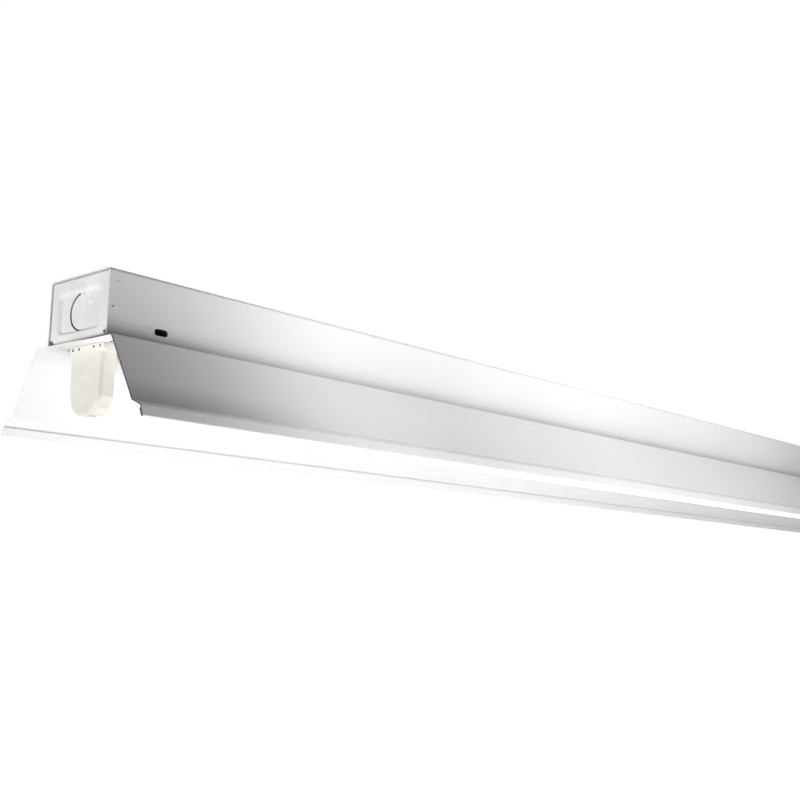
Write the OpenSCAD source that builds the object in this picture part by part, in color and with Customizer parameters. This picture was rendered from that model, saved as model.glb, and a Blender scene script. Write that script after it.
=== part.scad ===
// Ceiling strip light for one LED tube: steel channel, one-piece reflector, two lampholders.
// Millimetres. +X runs along the light, -Y is its front and +Z is up.
// The origin is the middle of the face that lies against the ceiling.

/* [Channel] */
// Length of the channel
body_len = 1238; // [900:1:1800]
// Outside width of the channel
channel_w = 57.2; // [52:0.1:70]
// Outside height of the channel
channel_h = 38.4; // [36:0.1:50]
// Sheet thickness of the channel and end plates
channel_t = 0.8; // [0.6:0.05:1.2]
// Outside radius of the channel's bends
channel_bend_r = 2; // [1.6:0.1:3]
// Width of the lips turned in under the channel
lip_w = 9; // [7:0.5:9.5]
// Length that the lips are cut back at each end
lip_setback = 12; // [9:0.5:20]

/* [Channel holes] */
// Distance from the end to the ceiling screw holes
screw_inset = 161.8; // [135:0.1:220]
// Distance between the ceiling screw holes across the channel
screw_gauge = 25.4; // [20:0.1:30]
// Diameter of the ceiling screw holes
screw_hole_d = 6.5; // [4:0.1:8]
// Distance from the end to the middle of a side slot
side_slot_inset = 36; // [34:0.5:60]
// Length of a side slot
side_slot_len = 9.5; // [6:0.1:14]
// Height of a side slot
side_slot_h = 4; // [2.5:0.1:5]
// Height of the side slots above the channel's bottom
side_slot_z = 7.6; // [6:0.1:10]
// Diameter of the conduit knockouts
knockout_d = 22.2; // [20:0.1:23]
// Width of the sheared gap round a knockout
knockout_gap = 0.8; // [0.3:0.05:1]
// Width of the ties that hold a knockout in
knockout_tie = 4.4; // [1.5:0.1:5]
// Distance from the end to each outer knockout in the top
top_knockout_inset = 110; // [70:1:130]

/* [End plates] */
// Depth of the end plates' side and top flanges
plate_flange = 10; // [6:0.5:14]
// Depth of the end plates' bottom flange
plate_foot = 4; // [3:0.5:5]
// Outside radius of the end plates' bends
plate_bend_r = 2.2; // [1.6:0.1:3]
// Gap between an end plate and the reflector's deck
plate_gap = 1.4; // [0.5:0.1:2.5]
// Size of the relief notches at the end plates' bottom corners
plate_relief = 2.4; // [2.2:0.1:4]
// Width of the recessed panel
panel_w = 41; // [37:0.5:44]
// Height of the recessed panel
panel_h = 25; // [24:0.5:27]
// Height of the panel's middle above the channel's bottom
panel_z = 17.9; // [17:0.1:19]
// Depth of the recessed panel
panel_depth = 1.3; // [0.6:0.1:2]
// Run of the panel's sloping sides
panel_slope = 3; // [1:0.1:4]
// Run of the panel's sloping top and bottom
panel_rise = 1.5; // [0.5:0.1:2]
// Corner radius of the panel
panel_r = 3.5; // [2:0.1:5]
// How far the sheared disc sits behind the panel
knockout_sink = 0.6; // [0.2:0.05:0.8]

/* [Reflector] */
// Sheet thickness of the reflector
reflector_t = 0.7; // [0.5:0.05:1]
// Width of the flat deck
deck_w = 72; // [66:0.1:90]
// Outward run of a wing from the deck to the jog
wing_run = 21.7; // [15:0.1:30]
// Drop of a wing from the deck to the jog
wing_drop = 37.7; // [34:0.1:45]
// Outward run of the jog
jog_run = 7.2; // [4:0.1:10]
// Drop of the jog
jog_drop = 3.2; // [1:0.1:5]
// Outward run of the hemmed lip
lip_run = 2.4; // [1:0.1:4]
// Drop of the hemmed lip
lip_drop = 6; // [5:0.1:8]
// Length that the hem is folded back
hem_len = 4.8; // [3:0.1:5]
// Centre-line radius of the deck's bends
deck_bend_r = 2.2; // [1:0.1:4]
// Centre-line radius of the jog's bends
jog_bend_r = 1; // [0.7:0.1:2]
// How far the reflector runs past each end of the channel
reflector_past = 2.2; // [1:0.1:4]

/* [Lampholders] */
// Distance from the channel's end to a lampholder
holder_inset = 6.8; // [5.5:0.1:8]
// Thickness of the lampholder's rear cover
holder_cover_t = 3; // [2.4:0.1:4]
// Thickness of the lampholder's body
holder_body_t = 7.7; // [7.6:0.1:9.5]
// Depth of the tube's axis below the channel's bottom
tube_drop = 27.5; // [27:0.1:30]
// Radius of the lampholder's rounded bottom
holder_r = 13.5; // [13.2:0.1:14.5]
// Half width of the lampholder under its collar
holder_top = 14.4; // [14.2:0.1:15]
// Half width of the lampholder's collar
collar_half = 15.8; // [15.2:0.1:17]
// Height of the lampholder's collar
collar_h = 4.6; // [3.5:0.1:6]
// Half width of the neck that passes through the deck
neck_half = 12; // [11.6:0.1:13]
// Height of the neck above the deck
neck_rise = 9.5; // [8:0.1:10]
// Depth of the grooves along the neck's sides
neck_groove = 1.5; // [1:0.1:1.8]
// Sheet thickness of the lampholder bracket
bracket_t = 0.9; // [0.7:0.05:1.2]
// Length of the lampholder bracket
bracket_len = 38; // [30:0.5:44]
// Radius of the rotor's flange
rotor_flange_r = 9.3; // [9:0.05:9.4]
// Radius of the rotor where it shows
rotor_face_r = 8.1; // [7.9:0.05:8.2]
// Running clearance round the rotor
rotor_fit = 0.08; // [0.05:0.01:0.1]
// Thickness of the contact springs
contact_t = 0.4; // [0.3:0.05:0.5]

/* [LED tube] */
// Gap between the tube's base face and the lampholder
tube_gap = 1.8; // [1:0.1:2]
// Outside diameter of the tube
tube_d = 25.4; // [25:0.1:25.8]
// Outside diameter of the end caps
cap_d = 26; // [25.9:0.1:26.4]
// Length of an end cap
cap_len = 16; // [14:0.5:24]
// Thickness of an end cap's face
cap_face_t = 4; // [3:0.1:5]
// Wall of the aluminium spine and the lens
tube_wall = 1.1; // [0.8:0.05:1.3]
// Distance between the two pins
pin_pitch = 12.7; // [12.5:0.1:12.9]
// Diameter of a pin
pin_d = 2.36; // [2.29:0.01:2.4]
// Length of a pin outside the cap
pin_len = 7.2; // [7:0.1:7.4]
// Number of LED chips
led_count = 72; // [24:1:90]
// Width of an LED chip
led_w = 3; // [2:0.1:4]
// Width of the LED board
led_board_w = 21; // [16:0.5:21.4]
// Length of the driver board
driver_len = 160; // [120:5:220]
// Width of the driver board
driver_w = 11.6; // [10:0.2:12.4]

/* [Latches] */
// Distance from the end to a latch
latch_inset = 250; // [200:1:300]
// Radius of the latch's knob
latch_knob_r = 9; // [7.5:0.1:10]
// Radius of the latch's shank
latch_shank_r = 3; // [2.5:0.1:3.2]
// Length of the latch's cross bar
latch_bar_len = 12.4; // [10:0.1:13]
// Thickness of the latch's cross bar
latch_bar_t = 2.6; // [2:0.1:3]
// Width of a bridge along the channel
bridge_w = 22; // [20:0.5:30]
// Height of a bridge's crown above the channel's lips
bridge_rise = 8; // [6:0.1:8.5]
// Sheet thickness of a bridge
bridge_t = 1; // [0.8:0.05:1.2]

/* [Wiring] */
// Distance from the middle of the channel to the terminal block
block_x = 45; // [30:1:90]
// Length of the terminal block
block_len = 32; // [28:1:40]
// Width of the terminal block
block_w = 16; // [14:0.5:24]
// Height of the terminal block
block_h = 14; // [12:0.5:16]
// Diameter of a lead
lead_d = 2; // [1.6:0.1:2.2]
// Depth of the leads below the ceiling face
lead_z = 5; // [4:0.1:8]
// Number of clips along each long lead
clip_count = 4; // [2:1:5]

/* [Hidden] */
$fn = 48;
bend_step = 15;
seat = 0.3;
eps = 0.01;
white = "WhiteSmoke";
cream = [0.93, 0.91, 0.86];
bronze = [0.80, 0.62, 0.36];

half_len = body_len / 2;
bottom_z = -channel_h;
inner_half = channel_w / 2 - channel_t;
lip_top_z = bottom_z + channel_t;
foot_half = inner_half - (channel_bend_r - channel_t) - 0.15;
deck_under_z = bottom_z - reflector_t;
tube_z = bottom_z - tube_drop;
holder_split = holder_inset + holder_cover_t;
holder_face = holder_split + holder_body_t;
cap_face = holder_face + tube_gap;
spine_end = cap_face + cap_face_t;
pin_tip = cap_face - pin_len;
tube_r = tube_d / 2;
spine_seam = -1.7;
pin_orbit = pin_pitch / 2 + pin_d / 2;
// Depths inside a lampholder, measured from the channel's end
rotor_face = holder_face - 0.1;
rotor_lip = holder_face - 1.8;
rotor_back = rotor_lip - 1.3;
rotor_foot = holder_split + 0.9;
contact_from = pin_tip - 0.6;
contact_to = rotor_back - 0.3;
contact_mid = (contact_from + contact_to) / 2;
contact_y = pin_orbit + 0.1 + contact_t / 2;
tail_y = contact_y + 0.5;
tail_top = tube_drop + neck_rise - 5;
port_r = lead_d / 2 + 0.25;
bracket_z = lip_top_z;
crown_z = lip_top_z + bridge_rise;
bar_z = crown_z + seat;
latch_slot_r = latch_shank_r + 0.25;
screw_port_r = 1.3;
screw_port = [8.6, 5.6];
ring_r = 4;
ring_reach = latch_bar_len / 2 + ring_r + 0.3;
ring_x = half_len - latch_inset - ring_reach * cos(50);
ring_y = ring_reach * sin(50);
ring_z = crown_z;
board_low = 0.6;
board_top = 1.9;
shelf_top = 3.2;
block_port_y = block_w / 4;
lead_level = -lead_z;
bracket_x = lip_setback - 6.5;

// Directions of extrusion: a flat shape's x and y become Y and Z, X and Z, or X and Y
module along_x(len) rotate([90, 0, 90]) linear_extrude(len) children();
module along_y(len) translate([0, len, 0]) rotate([90, 0, 0]) linear_extrude(len) children();

// A piece drawn at the left end, with x measured inwards from the channel's end
module at_left() translate([-half_len, 0, 0]) children();
module at_right() mirror([1, 0, 0]) at_left() children();

// Bent sheet: a centre line with rounded corners, thickened to both sides
function unit(v) = v / norm(v);
function left_of(v) = [-v[1], v[0]];
function turned(v, a) = [v[0] * cos(a) - v[1] * sin(a), v[0] * sin(a) + v[1] * cos(a)];
function bend(a, b, c, r) =
    let (u = unit(b - a), v = unit(c - b), turn = atan2(u[0] * v[1] - u[1] * v[0], u * v))
    let (start = b - u * r * tan(abs(turn) / 2), side = sign(turn))
    let (centre = start + left_of(u) * side * r, steps = max(2, ceil(abs(turn) / bend_step)))
    [for (k = [0 : steps]) let (n = turned(left_of(u), turn * k / steps)) [centre - n * side * r, n]];
function bent_line(path, radii) =
    let (last = len(path) - 1)
    concat([[path[0], left_of(unit(path[1] - path[0]))]],
        [for (i = [1 : last - 1]) each bend(path[i - 1], path[i], path[i + 1], radii[i - 1])],
        [[path[last], left_of(unit(path[last] - path[last - 1]))]]);
module sheet(path, radii, t) {
    line = bent_line(path, radii);
    polygon(concat([for (p = line) p[0] + p[1] * t / 2],
        [for (i = [len(line) - 1 : -1 : 0]) line[i][0] - line[i][1] * t / 2]));
}
function flipped(path) = [for (i = [len(path) - 1 : -1 : 0]) [-path[i][0], path[i][1]]];
function repeated(value, count) = [for (i = [1 : count]) value];

module round_rect(w, h, r) {
    square([w, h - 2 * r], center = true);
    square([w - 2 * r, h], center = true);
    for (sx = [-1, 1], sy = [-1, 1])
        translate([sx * (w / 2 - r), sy * (h / 2 - r)]) circle(r);
}

module oval(len, width) {
    square([len - width, width], center = true);
    for (s = [-1, 1]) translate([s * (len - width) / 2, 0]) circle(width / 2);
}

// The sheared gap round a conduit knockout, broken by its ties
module knockout_cut(ties) difference() {
    circle(knockout_d / 2);
    circle(knockout_d / 2 - knockout_gap);
    for (a = ties) rotate(a) translate([0, -knockout_tie / 2]) square([knockout_d, knockout_tie]);
}

// Channel and end plates

module channel_profile() {
    side = (channel_w - channel_t) / 2;
    top = -channel_t / 2;
    low = bottom_z + channel_t / 2;
    half = [[side, top], [side, low], [inner_half - lip_w, low]];
    sheet(concat(flipped(half), half), repeated(channel_bend_r - channel_t / 2, 4), channel_t);
}

module channel_housing() color(white) difference() {
    at_left() along_x(body_len) channel_profile();
    for (s = [-1, 1]) {
        translate([s * half_len, 0, bottom_z])
            cube([2 * lip_setback, 2 * inner_half, 4 * channel_bend_r], center = true);
        translate([s * (half_len - side_slot_inset), -channel_w, bottom_z + side_slot_z])
            along_y(2 * channel_w) oval(side_slot_len, side_slot_h);
        for (y = [-1, 1])
            translate([s * (half_len - screw_inset), y * screw_gauge / 2, -2 * channel_t])
                cylinder(h = 4 * channel_t, d = screw_hole_d);
    }
    for (x = [-1, 0, 1] * (half_len - top_knockout_inset))
        translate([x, 0, -2 * channel_t]) linear_extrude(4 * channel_t) knockout_cut([0, 180]);
}

module panel_slab(x, w, h, t) translate([x, 0, bottom_z + panel_z]) along_x(t) round_rect(w, h, panel_r);

// The recess: its sides slope in from the mouth to the floor
module panel_recess(grow, x0, depth) hull() {
    panel_slab(x0, panel_w + 2 * grow, panel_h + 2 * grow, eps);
    panel_slab(depth, panel_w + 2 * (grow - panel_slope), panel_h + 2 * (grow - panel_rise), eps);
}

// A block with rounded edges, one radius in from the plate's outline; its back end is square
module plate_block(r, back) hull()
    for (y = [-1, 1] * (inner_half - plate_bend_r),
        z = [bottom_z + plate_gap + plate_bend_r, -channel_t - plate_bend_r])
        translate([channel_t / 2 + plate_bend_r, y, z]) {
            rotate_extrude($fn = 24) intersection() {
                circle(r);
                translate([0, -r]) square([r, 2 * r]);
            }
            along_x(back) circle(r, $fn = 24);
        }

module end_plate() {
    front = channel_t / 2;
    low = bottom_z + plate_gap;
    slug_r = knockout_d / 2 - knockout_gap;
    difference() {
        union() {
            difference() {
                plate_block(plate_bend_r, plate_flange - plate_bend_r);
                plate_block(plate_bend_r - channel_t, 2 * plate_flange);
            }
            translate([front, 0, 0]) panel_recess(channel_t / 2, channel_t / 4, panel_depth + channel_t);
        }
        translate([front, 0, 0]) panel_recess(-channel_t / 4, -eps, panel_depth);
        translate([0, 0, bottom_z + panel_z]) along_x(plate_flange) circle(knockout_d / 2);
        for (s = [-1, 1])
            translate([0, s * inner_half, low])
                cube([4 * plate_flange, 2 * plate_relief, 2 * plate_relief], center = true);
        translate([front + plate_foot + plate_flange, 0, low])
            cube([2 * plate_flange, 2 * inner_half, 2 * plate_relief], center = true);
    }
    translate([front + panel_depth, 0, bottom_z + panel_z]) {
        translate([knockout_sink, 0, 0]) along_x(channel_t) circle(slug_r);
        along_x(channel_t + knockout_sink) intersection() {
            for (a = [93, 146]) rotate(a)
                translate([slug_r - 1, -knockout_tie / 2]) square([knockout_gap + 2, knockout_tie]);
            circle(knockout_d / 2 + 0.5);
        }
    }
}

module end_plate_left() color(white) at_left() end_plate();
module end_plate_right() color(white) at_right() end_plate();

// Reflector

module reflector_profile() {
    deck = [deck_w / 2, bottom_z - reflector_t / 2];
    jog = deck + [wing_run, -wing_drop];
    lip = jog + [jog_run, -jog_drop];
    tip = lip + [lip_run, -lip_drop];
    up = unit(lip - tip);
    fold = left_of(up) * (reflector_t + 0.2);
    half = [deck, jog, lip, tip, tip + fold, tip + fold + up * hem_len];
    hem_r = (reflector_t + 0.2) / 2 - eps;
    radii = [deck_bend_r, jog_bend_r, jog_bend_r, hem_r, hem_r];
    back = [for (i = [4 : -1 : 0]) radii[i]];
    sheet(concat(flipped(half), half), concat(back, radii), reflector_t);
}

module reflector() color(white) difference() {
    translate([-half_len - reflector_past, 0, 0]) along_x(body_len + 2 * reflector_past)
        reflector_profile();
    for (s = [-1, 1]) {
        window = holder_body_t + 2 * seat;
        translate([s * (half_len - holder_split - holder_body_t / 2), 0, bottom_z])
            cube([window, 2 * (neck_half + seat), 4 * reflector_t], center = true);
        translate([s * (half_len - latch_inset), 0, bottom_z - 2 * reflector_t])
            cylinder(h = 4 * reflector_t, r = latch_shank_r + seat);
        for (y = [-1, 1])
            translate([s * (half_len - holder_split), y * (collar_half + 3.6),
                bottom_z - 2 * reflector_t])
                linear_extrude(4 * reflector_t) rotate(90) oval(6, 2);
    }
}

// Lampholders, with y and z measured from the tube's axis in their outlines

function tangent_angle(p, r) = atan2(p[1], p[0]) - acos(r / norm(p));

module holder_outline(top) {
    shoulder = top - collar_h;
    a = tangent_angle([holder_top, shoulder], holder_r);
    steps = 26;
    polygon(concat([[-holder_top, shoulder], [-collar_half, shoulder + 1], [-collar_half, top],
        [collar_half, top], [collar_half, shoulder + 1], [holder_top, shoulder]],
        [for (k = [0 : steps]) let (t = a - (180 + 2 * a) * k / steps) holder_r * [cos(t), sin(t)]]));
}

// The body's bottom is cut in flats, where the cover behind it is round
module holder_body_outline(top) {
    side = holder_r - 0.4;
    polygon([[holder_top - 0.5, top], [side, -2.8], [side - 2.7, -9], [side - 7.6, -12.6],
        [7.6 - side, -12.6], [2.7 - side, -9], [-side, -2.8], [0.5 - holder_top, top]]);
}

module at_tube_axis() translate([0, 0, tube_z]) children();

module lampholder_cover() {
    top = tube_drop - reflector_t - seat;
    recess = 0.6;
    at_tube_axis() difference() {
        translate([holder_inset, 0, 0]) along_x(holder_cover_t - 0.05)
            holder_outline(top);
        translate([holder_inset - eps, 0, -0.6]) along_x(recess) circle(holder_r - 3);
        translate([holder_inset - eps, 2, tube_drop / 2 + 0.7]) along_x(recess) circle(1.1);
        for (s = [-1, 1], y = [collar_half - 2.6, collar_half - 8.6])
            translate([holder_inset - eps, s * y, top - 0.5])
                along_x(holder_cover_t - 1) circle(0.9);
    }
}

module lampholder_body() {
    top = tube_drop - reflector_t - seat;
    groove_z = tube_drop + channel_t - 0.1;
    at_tube_axis() difference() {
        union() {
            translate([holder_split, 0, 0]) along_x(holder_body_t) {
                holder_body_outline(top);
                translate([-neck_half, top - eps])
                    square([2 * neck_half, tube_drop + neck_rise - top]);
            }
            translate([holder_split, 0, top - collar_h / 2]) along_x(holder_body_t - 0.6)
                square([2 * collar_half, collar_h], center = true);
        }
        translate([rotor_foot - 0.1, 0, 0]) along_x(rotor_lip - rotor_foot + 0.1)
            circle(rotor_flange_r + rotor_fit);
        translate([rotor_lip - eps, 0, 0]) along_x(holder_face) circle(rotor_face_r + rotor_fit);
        translate([pin_tip - 0.5, 0, -2 * holder_r]) along_x(holder_face)
            translate([-pin_d / 2 - 0.35, 0]) square([pin_d + 0.7, 2 * holder_r]);
        for (s = [-1, 1]) {
            translate([contact_from - 0.2, s * tail_y - 0.6, 0])
                cube([contact_to - contact_from + 0.4, 1.2, tail_top + 0.3]);
            translate([contact_mid, s * tail_y, tail_top])
                cylinder(h = neck_rise + 5, r = port_r);
            translate([holder_split - 1, s * neck_half - neck_groove, groove_z])
                cube([holder_body_t + 2, 2 * neck_groove, bracket_t + 0.2]);
        }
    }
}

module lampholder_rotor() at_tube_axis() {
    slot = pin_d + 0.3;
    translate([rotor_foot, 0, 0]) along_x(rotor_back - rotor_foot + eps)
        circle(pin_pitch / 2 - pin_d / 2 - 0.4);
    difference() {
        union() {
            translate([rotor_back, 0, 0]) along_x(rotor_lip - rotor_back - 0.1) circle(rotor_flange_r);
            translate([rotor_back, 0, 0]) along_x(rotor_face - rotor_back) circle(rotor_face_r);
        }
        translate([rotor_back - eps, -2 * rotor_flange_r, -slot / 2])
            cube([holder_body_t, 4 * rotor_flange_r, slot]);
    }
}

module lampholder_contacts() at_tube_axis() for (s = [-1, 1])
    translate([contact_from, 0, 0]) along_x(contact_to - contact_from) scale([s, 1])
        sheet([[contact_y + 0.5, -3.4], [contact_y, -1.4], [contact_y, 2.4], [tail_y, 5],
            [tail_y, tail_top]], [1, 1, 1], contact_t);

// A forked plate on the channel's lips grips the neck's grooves
module lampholder_bracket() {
    fork = neck_half - neck_groove + 0.15;
    reach = holder_face + 0.15;
    difference() {
        translate([bracket_x, -foot_half, bracket_z]) cube([bracket_len, 2 * foot_half, bracket_t]);
        translate([-1, -fork, bracket_z - 1]) cube([reach + 1, 2 * fork, 3]);
        translate([(reach + bracket_len) / 2 + 3, 0, bracket_z - 1])
            linear_extrude(3) oval(10, 6);
    }
    translate([bracket_x + bracket_len - bracket_t, -foot_half, bracket_z])
        cube([bracket_t, 2 * foot_half, 6]);
}

module lampholder_body_left() color(cream) at_left() lampholder_body();
module lampholder_body_right() color(cream) at_right() lampholder_body();
module lampholder_cover_left() color(cream) at_left() lampholder_cover();
module lampholder_cover_right() color(cream) at_right() lampholder_cover();
module lampholder_rotor_left() color(white) at_left() lampholder_rotor();
module lampholder_rotor_right() color(white) at_right() lampholder_rotor();
module lampholder_contacts_left() color(bronze) at_left() lampholder_contacts();
module lampholder_contacts_right() color(bronze) at_right() lampholder_contacts();
module lampholder_bracket_left() color("Silver") at_left() lampholder_bracket();
module lampholder_bracket_right() color("Silver") at_right() lampholder_bracket();

// LED tube

module tube_ring(above) intersection() {
    difference() {
        circle(tube_r);
        circle(tube_r - tube_wall);
    }
    translate([-tube_r, above ? spine_seam : spine_seam - 0.1 - 2 * tube_r])
        square(2 * tube_r);
}

module spine_profile() {
    shelf = sqrt(pow(tube_r - tube_wall / 2, 2) - 9);
    tube_ring(true);
    translate([-shelf, board_top]) square([2 * shelf, shelf_top - board_top]);
    difference() {
        for (s = [-1, 1]) {
            translate([s * screw_port[0], screw_port[1]]) circle(2.2);
            translate([s * (shelf - 0.9) - 0.9, spine_seam]) square([1.8, board_low - 0.1 - spine_seam]);
        }
        for (s = [-1, 1]) translate([s * screw_port[0], screw_port[1]]) circle(screw_port_r);
    }
}

module tube_spine() color("Silver") at_tube_axis() at_left() translate([spine_end, 0, 0])
    along_x(body_len - 2 * spine_end) spine_profile();

module tube_lens() color("White") at_tube_axis() at_left() translate([spine_end, 0, 0])
    along_x(body_len - 2 * spine_end) tube_ring(false);

module tube_led_board() color("White") at_tube_axis()
    translate([5 - half_len + spine_end, -led_board_w / 2, board_low])
        cube([body_len - 2 * spine_end - 10, led_board_w, board_top - board_low]);

module tube_led_chips() color("Khaki") at_tube_axis() {
    pitch = (body_len - 2 * spine_end - 20) / led_count;
    for (i = [0 : led_count - 1])
        translate([(i - (led_count - 1) / 2) * pitch - led_w / 2, -led_w / 2, board_low - 0.8])
            cube([led_w, led_w, 0.8]);
}

// The driver lies on the spine's shelf, above the LED board
module tube_driver() color("ForestGreen") at_tube_axis() {
    x0 = half_len - spine_end - 12 - driver_len;
    translate([x0, -driver_w / 2, shelf_top]) cube([driver_len, driver_w, 1.2]);
    translate([x0 + driver_len * 0.42, -4, shelf_top + 1.2]) cube([14, 8, 5.2]);
    translate([x0 + driver_len * 0.65, -3.2, shelf_top + 1.2]) cube([9, 6.4, 4.2]);
    for (x = [0.1, 0.24])
        translate([x0 + driver_len * x, 0, shelf_top + 1.2 + 2.4]) along_x(14) circle(2.5);
    for (x = [0.78, 0.84, 0.9])
        translate([x0 + driver_len * x, -2.5, shelf_top + 1.2]) cube([4, 5, 2]);
}

module tube_end_cap() at_tube_axis() difference() {
    translate([cap_face, 0, 0]) along_x(cap_len) circle(cap_d / 2);
    translate([spine_end, 0, 0]) along_x(cap_len) circle(tube_r + 0.05);
    for (s = [-1, 1]) {
        translate([cap_face - 1, s * pin_pitch / 2, 0]) along_x(cap_len) circle(pin_d / 2 + 0.01);
        translate([cap_face - 1, s * screw_port[0], screw_port[1]]) {
            along_x(cap_len) circle(screw_port_r + 0.2);
            along_x(2.4) circle(2.2);
        }
    }
}

module tube_pins() at_tube_axis() for (s = [-1, 1])
    translate([pin_tip, s * pin_pitch / 2, 0]) {
        translate([0.6, 0, 0]) along_x(pin_len + cap_face_t - 0.6) circle(pin_d / 2);
        along_x(0.7) circle(pin_d / 2 - 0.3);
    }

module cap_screws() at_tube_axis() for (s = [-1, 1])
    translate([cap_face + 0.1, s * screw_port[0], screw_port[1]]) {
        along_x(1.3) circle(2);
        along_x(12) circle(screw_port_r - 0.03);
    }

module tube_end_cap_left() color(white) at_left() tube_end_cap();
module tube_end_cap_right() color(white) at_right() tube_end_cap();
module tube_pins_left() color("Gold") at_left() tube_pins();
module tube_pins_right() color("Gold") at_right() tube_pins();
module tube_cap_screws() color("Silver") {
    at_left() cap_screws();
    at_right() cap_screws();
}

// Latches: a quarter turn brings the cross bar over the bridge's slot

module latch_bridge() translate([latch_inset - bridge_w / 2, 0, 0]) {
    foot_z = lip_top_z + bridge_t / 2;
    top_z = crown_z - bridge_t / 2;
    shoulder = inner_half - lip_w - 1.5;
    half = [[shoulder - 1.5, top_z], [shoulder, foot_z], [foot_half, foot_z]];
    difference() {
        along_x(bridge_w) sheet(concat(flipped(half), half), repeated(bridge_t * 0.8, 4), bridge_t);
        translate([bridge_w / 2, 0, top_z - 3])
            linear_extrude(6) oval(latch_bar_len + 0.8, 2 * latch_slot_r);
        translate([bridge_w / 2 + ring_reach * cos(50), ring_y, top_z - 3]) cylinder(h = 6, r = 1.9);
    }
}

module latch() translate([latch_inset, 0, 0]) {
    knob_top = deck_under_z - seat;
    knob_t = 2;
    grip_h = 4.5;
    grip_w = 4;
    translate([0, 0, knob_top - knob_t]) cylinder(h = knob_t, r = latch_knob_r);
    translate([0, 0, knob_top - knob_t - grip_h]) linear_extrude(grip_h + eps)
        rotate(90) oval(2 * latch_knob_r - 1, grip_w);
    translate([0, 0, knob_top - eps]) cylinder(h = bar_z + latch_bar_t - knob_top, r = latch_shank_r);
    translate([0, 0, bar_z]) linear_extrude(latch_bar_t) intersection() {
        circle(latch_bar_len / 2);
        square([2 * latch_shank_r - 0.2, latch_bar_len], center = true);
    }
}

module latch_retainer() translate([latch_inset, 0, bottom_z + seat]) difference() {
    cylinder(h = 0.8, r = latch_shank_r + 2);
    translate([0, 0, -1]) cylinder(h = 3, r = latch_shank_r + 0.02);
}

module latch_bridge_left() color("Silver") at_left() latch_bridge();
module latch_bridge_right() color("Silver") at_right() latch_bridge();
module latch_left() color(white) at_left() latch();
module latch_right() color(white) at_right() latch();
module latch_retainer_left() color("Silver") at_left() latch_retainer();
module latch_retainer_right() color("Silver") at_right() latch_retainer();

// Wiring

module terminal_block() color("WhiteSmoke") difference() {
    translate([block_x, -block_w / 2, -channel_t - block_h]) cube([block_len, block_w, block_h]);
    for (y = [-1, 1] * block_port_y) {
        translate([block_x - 1, y, lead_level]) along_x(7) circle(port_r);
        translate([block_x + block_len - 6, y, lead_level]) along_x(7) circle(port_r);
        for (x = [8, block_len - 8])
            translate([block_x + x, y, -channel_t - block_h - 1]) cylinder(h = 6, r = 2);
    }
}

// A lead is swept along its route: rounded corners, then a ring of points at each station
function round_corner(a, b, c, r, steps) =
    let (u = unit(b - a), v = unit(c - b), turn = acos(u * v), reach = r * tan(turn / 2))
    let (start = b - u * reach, inward = unit(v - u * (u * v)))
    [for (k = [0 : steps]) let (t = turn * k / steps) start + r * (u * sin(t) + inward * (1 - cos(t)))];
function lead_route(path, r) = let (last = len(path) - 1) concat([path[0]],
    [for (i = [1 : last - 1]) each round_corner(path[i - 1], path[i], path[i + 1], r, 5)], [path[last]]);
function heading(line, i) =
    unit(line[min(i + 1, len(line) - 1)] - line[max(i - 1, 0)]);
module lead(path) {
    line = lead_route(path, 4);
    sides = 8;
    stations = len(line);
    points = [for (i = [0 : stations - 1])
        let (t = heading(line, i), across = unit([0, 1, 0] - t * t[1]), up = cross(t, across))
        for (k = [0 : sides - 1])
            line[i] + (across * cos(360 * k / sides) + up * sin(360 * k / sides)) * lead_d / 2];
    walls = [for (i = [0 : stations - 2], k = [0 : sides - 1])
        let (n = (k + 1) % sides) each [
            [i * sides + k, i * sides + n, (i + 1) * sides + n],
            [i * sides + k, (i + 1) * sides + n, (i + 1) * sides + k]]];
    near_end = [for (k = [1 : sides - 2]) [0, k + 1, k]];
    far = (stations - 1) * sides;
    far_end = [for (k = [1 : sides - 2]) [far, far + k, far + k + 1]];
    polyhedron(points, concat(near_end, walls, far_end));
}

// From the block to a lampholder's top port; side is -1 for the left end and 1 for the right
module long_lead(side) {
    from_x = side < 0 ? block_x + 4 : block_x + block_len - 4;
    port_x = side * (half_len - contact_mid);
    port_y = -tail_y;
    lead([[from_x, -block_port_y, lead_level],
        [port_x - side * 50, -block_port_y, lead_level],
        [port_x - side * 25, port_y, lead_level],
        [port_x, port_y, lead_level],
        [port_x, port_y, tube_z + tail_top + 1]]);
}

module line_lead() color("DimGray") long_lead(-1);
module neutral_lead() color("White") long_lead(1);
module ground_lead() color("SeaGreen") lead([
    [block_x + block_len - 4, block_port_y, lead_level],
    [block_x + block_len + 40, block_port_y, lead_level],
    [block_x + block_len + 80, ring_y, lead_level],
    [ring_x - 24, ring_y, lead_level],
    [ring_x - 16, ring_y, ring_z + 1.6],
    [ring_x - 6.5, ring_y, ring_z + 1.6]]);

module ground_ring() color("Tan") {
    translate([ring_x, ring_y, ring_z]) difference() {
        union() {
            cylinder(h = 0.8, r = ring_r);
            translate([-9, -1.6, 0]) cube([7, 3.2, 0.5]);
        }
        translate([0, 0, -1]) cylinder(h = 3, r = 2.15);
    }
}

module ground_screw() color("SeaGreen") translate([ring_x, ring_y, ring_z]) {
    translate([0, 0, 0.8]) cylinder(h = 2.6, r = ring_r, $fn = 6);
    translate([0, 0, -5]) cylinder(h = 6, r = 1.85);
}

module wire_clip() difference() {
    translate([-3.5, -4, -channel_t - 7]) cube([7, 8, 7]);
    translate([-5, 0, lead_level]) along_x(10) circle(lead_d / 2 + 0.1);
}
module wire_clips() color("Ivory") {
    outer = half_len - 2 * top_knockout_inset;
    pitch = (outer - 2 * block_x - block_len - 20) / (clip_count - 1);
    for (s = [-1, 1], i = [0 : clip_count - 1])
        translate([s * (outer - i * pitch), -block_port_y, 0]) wire_clip();
}

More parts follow.
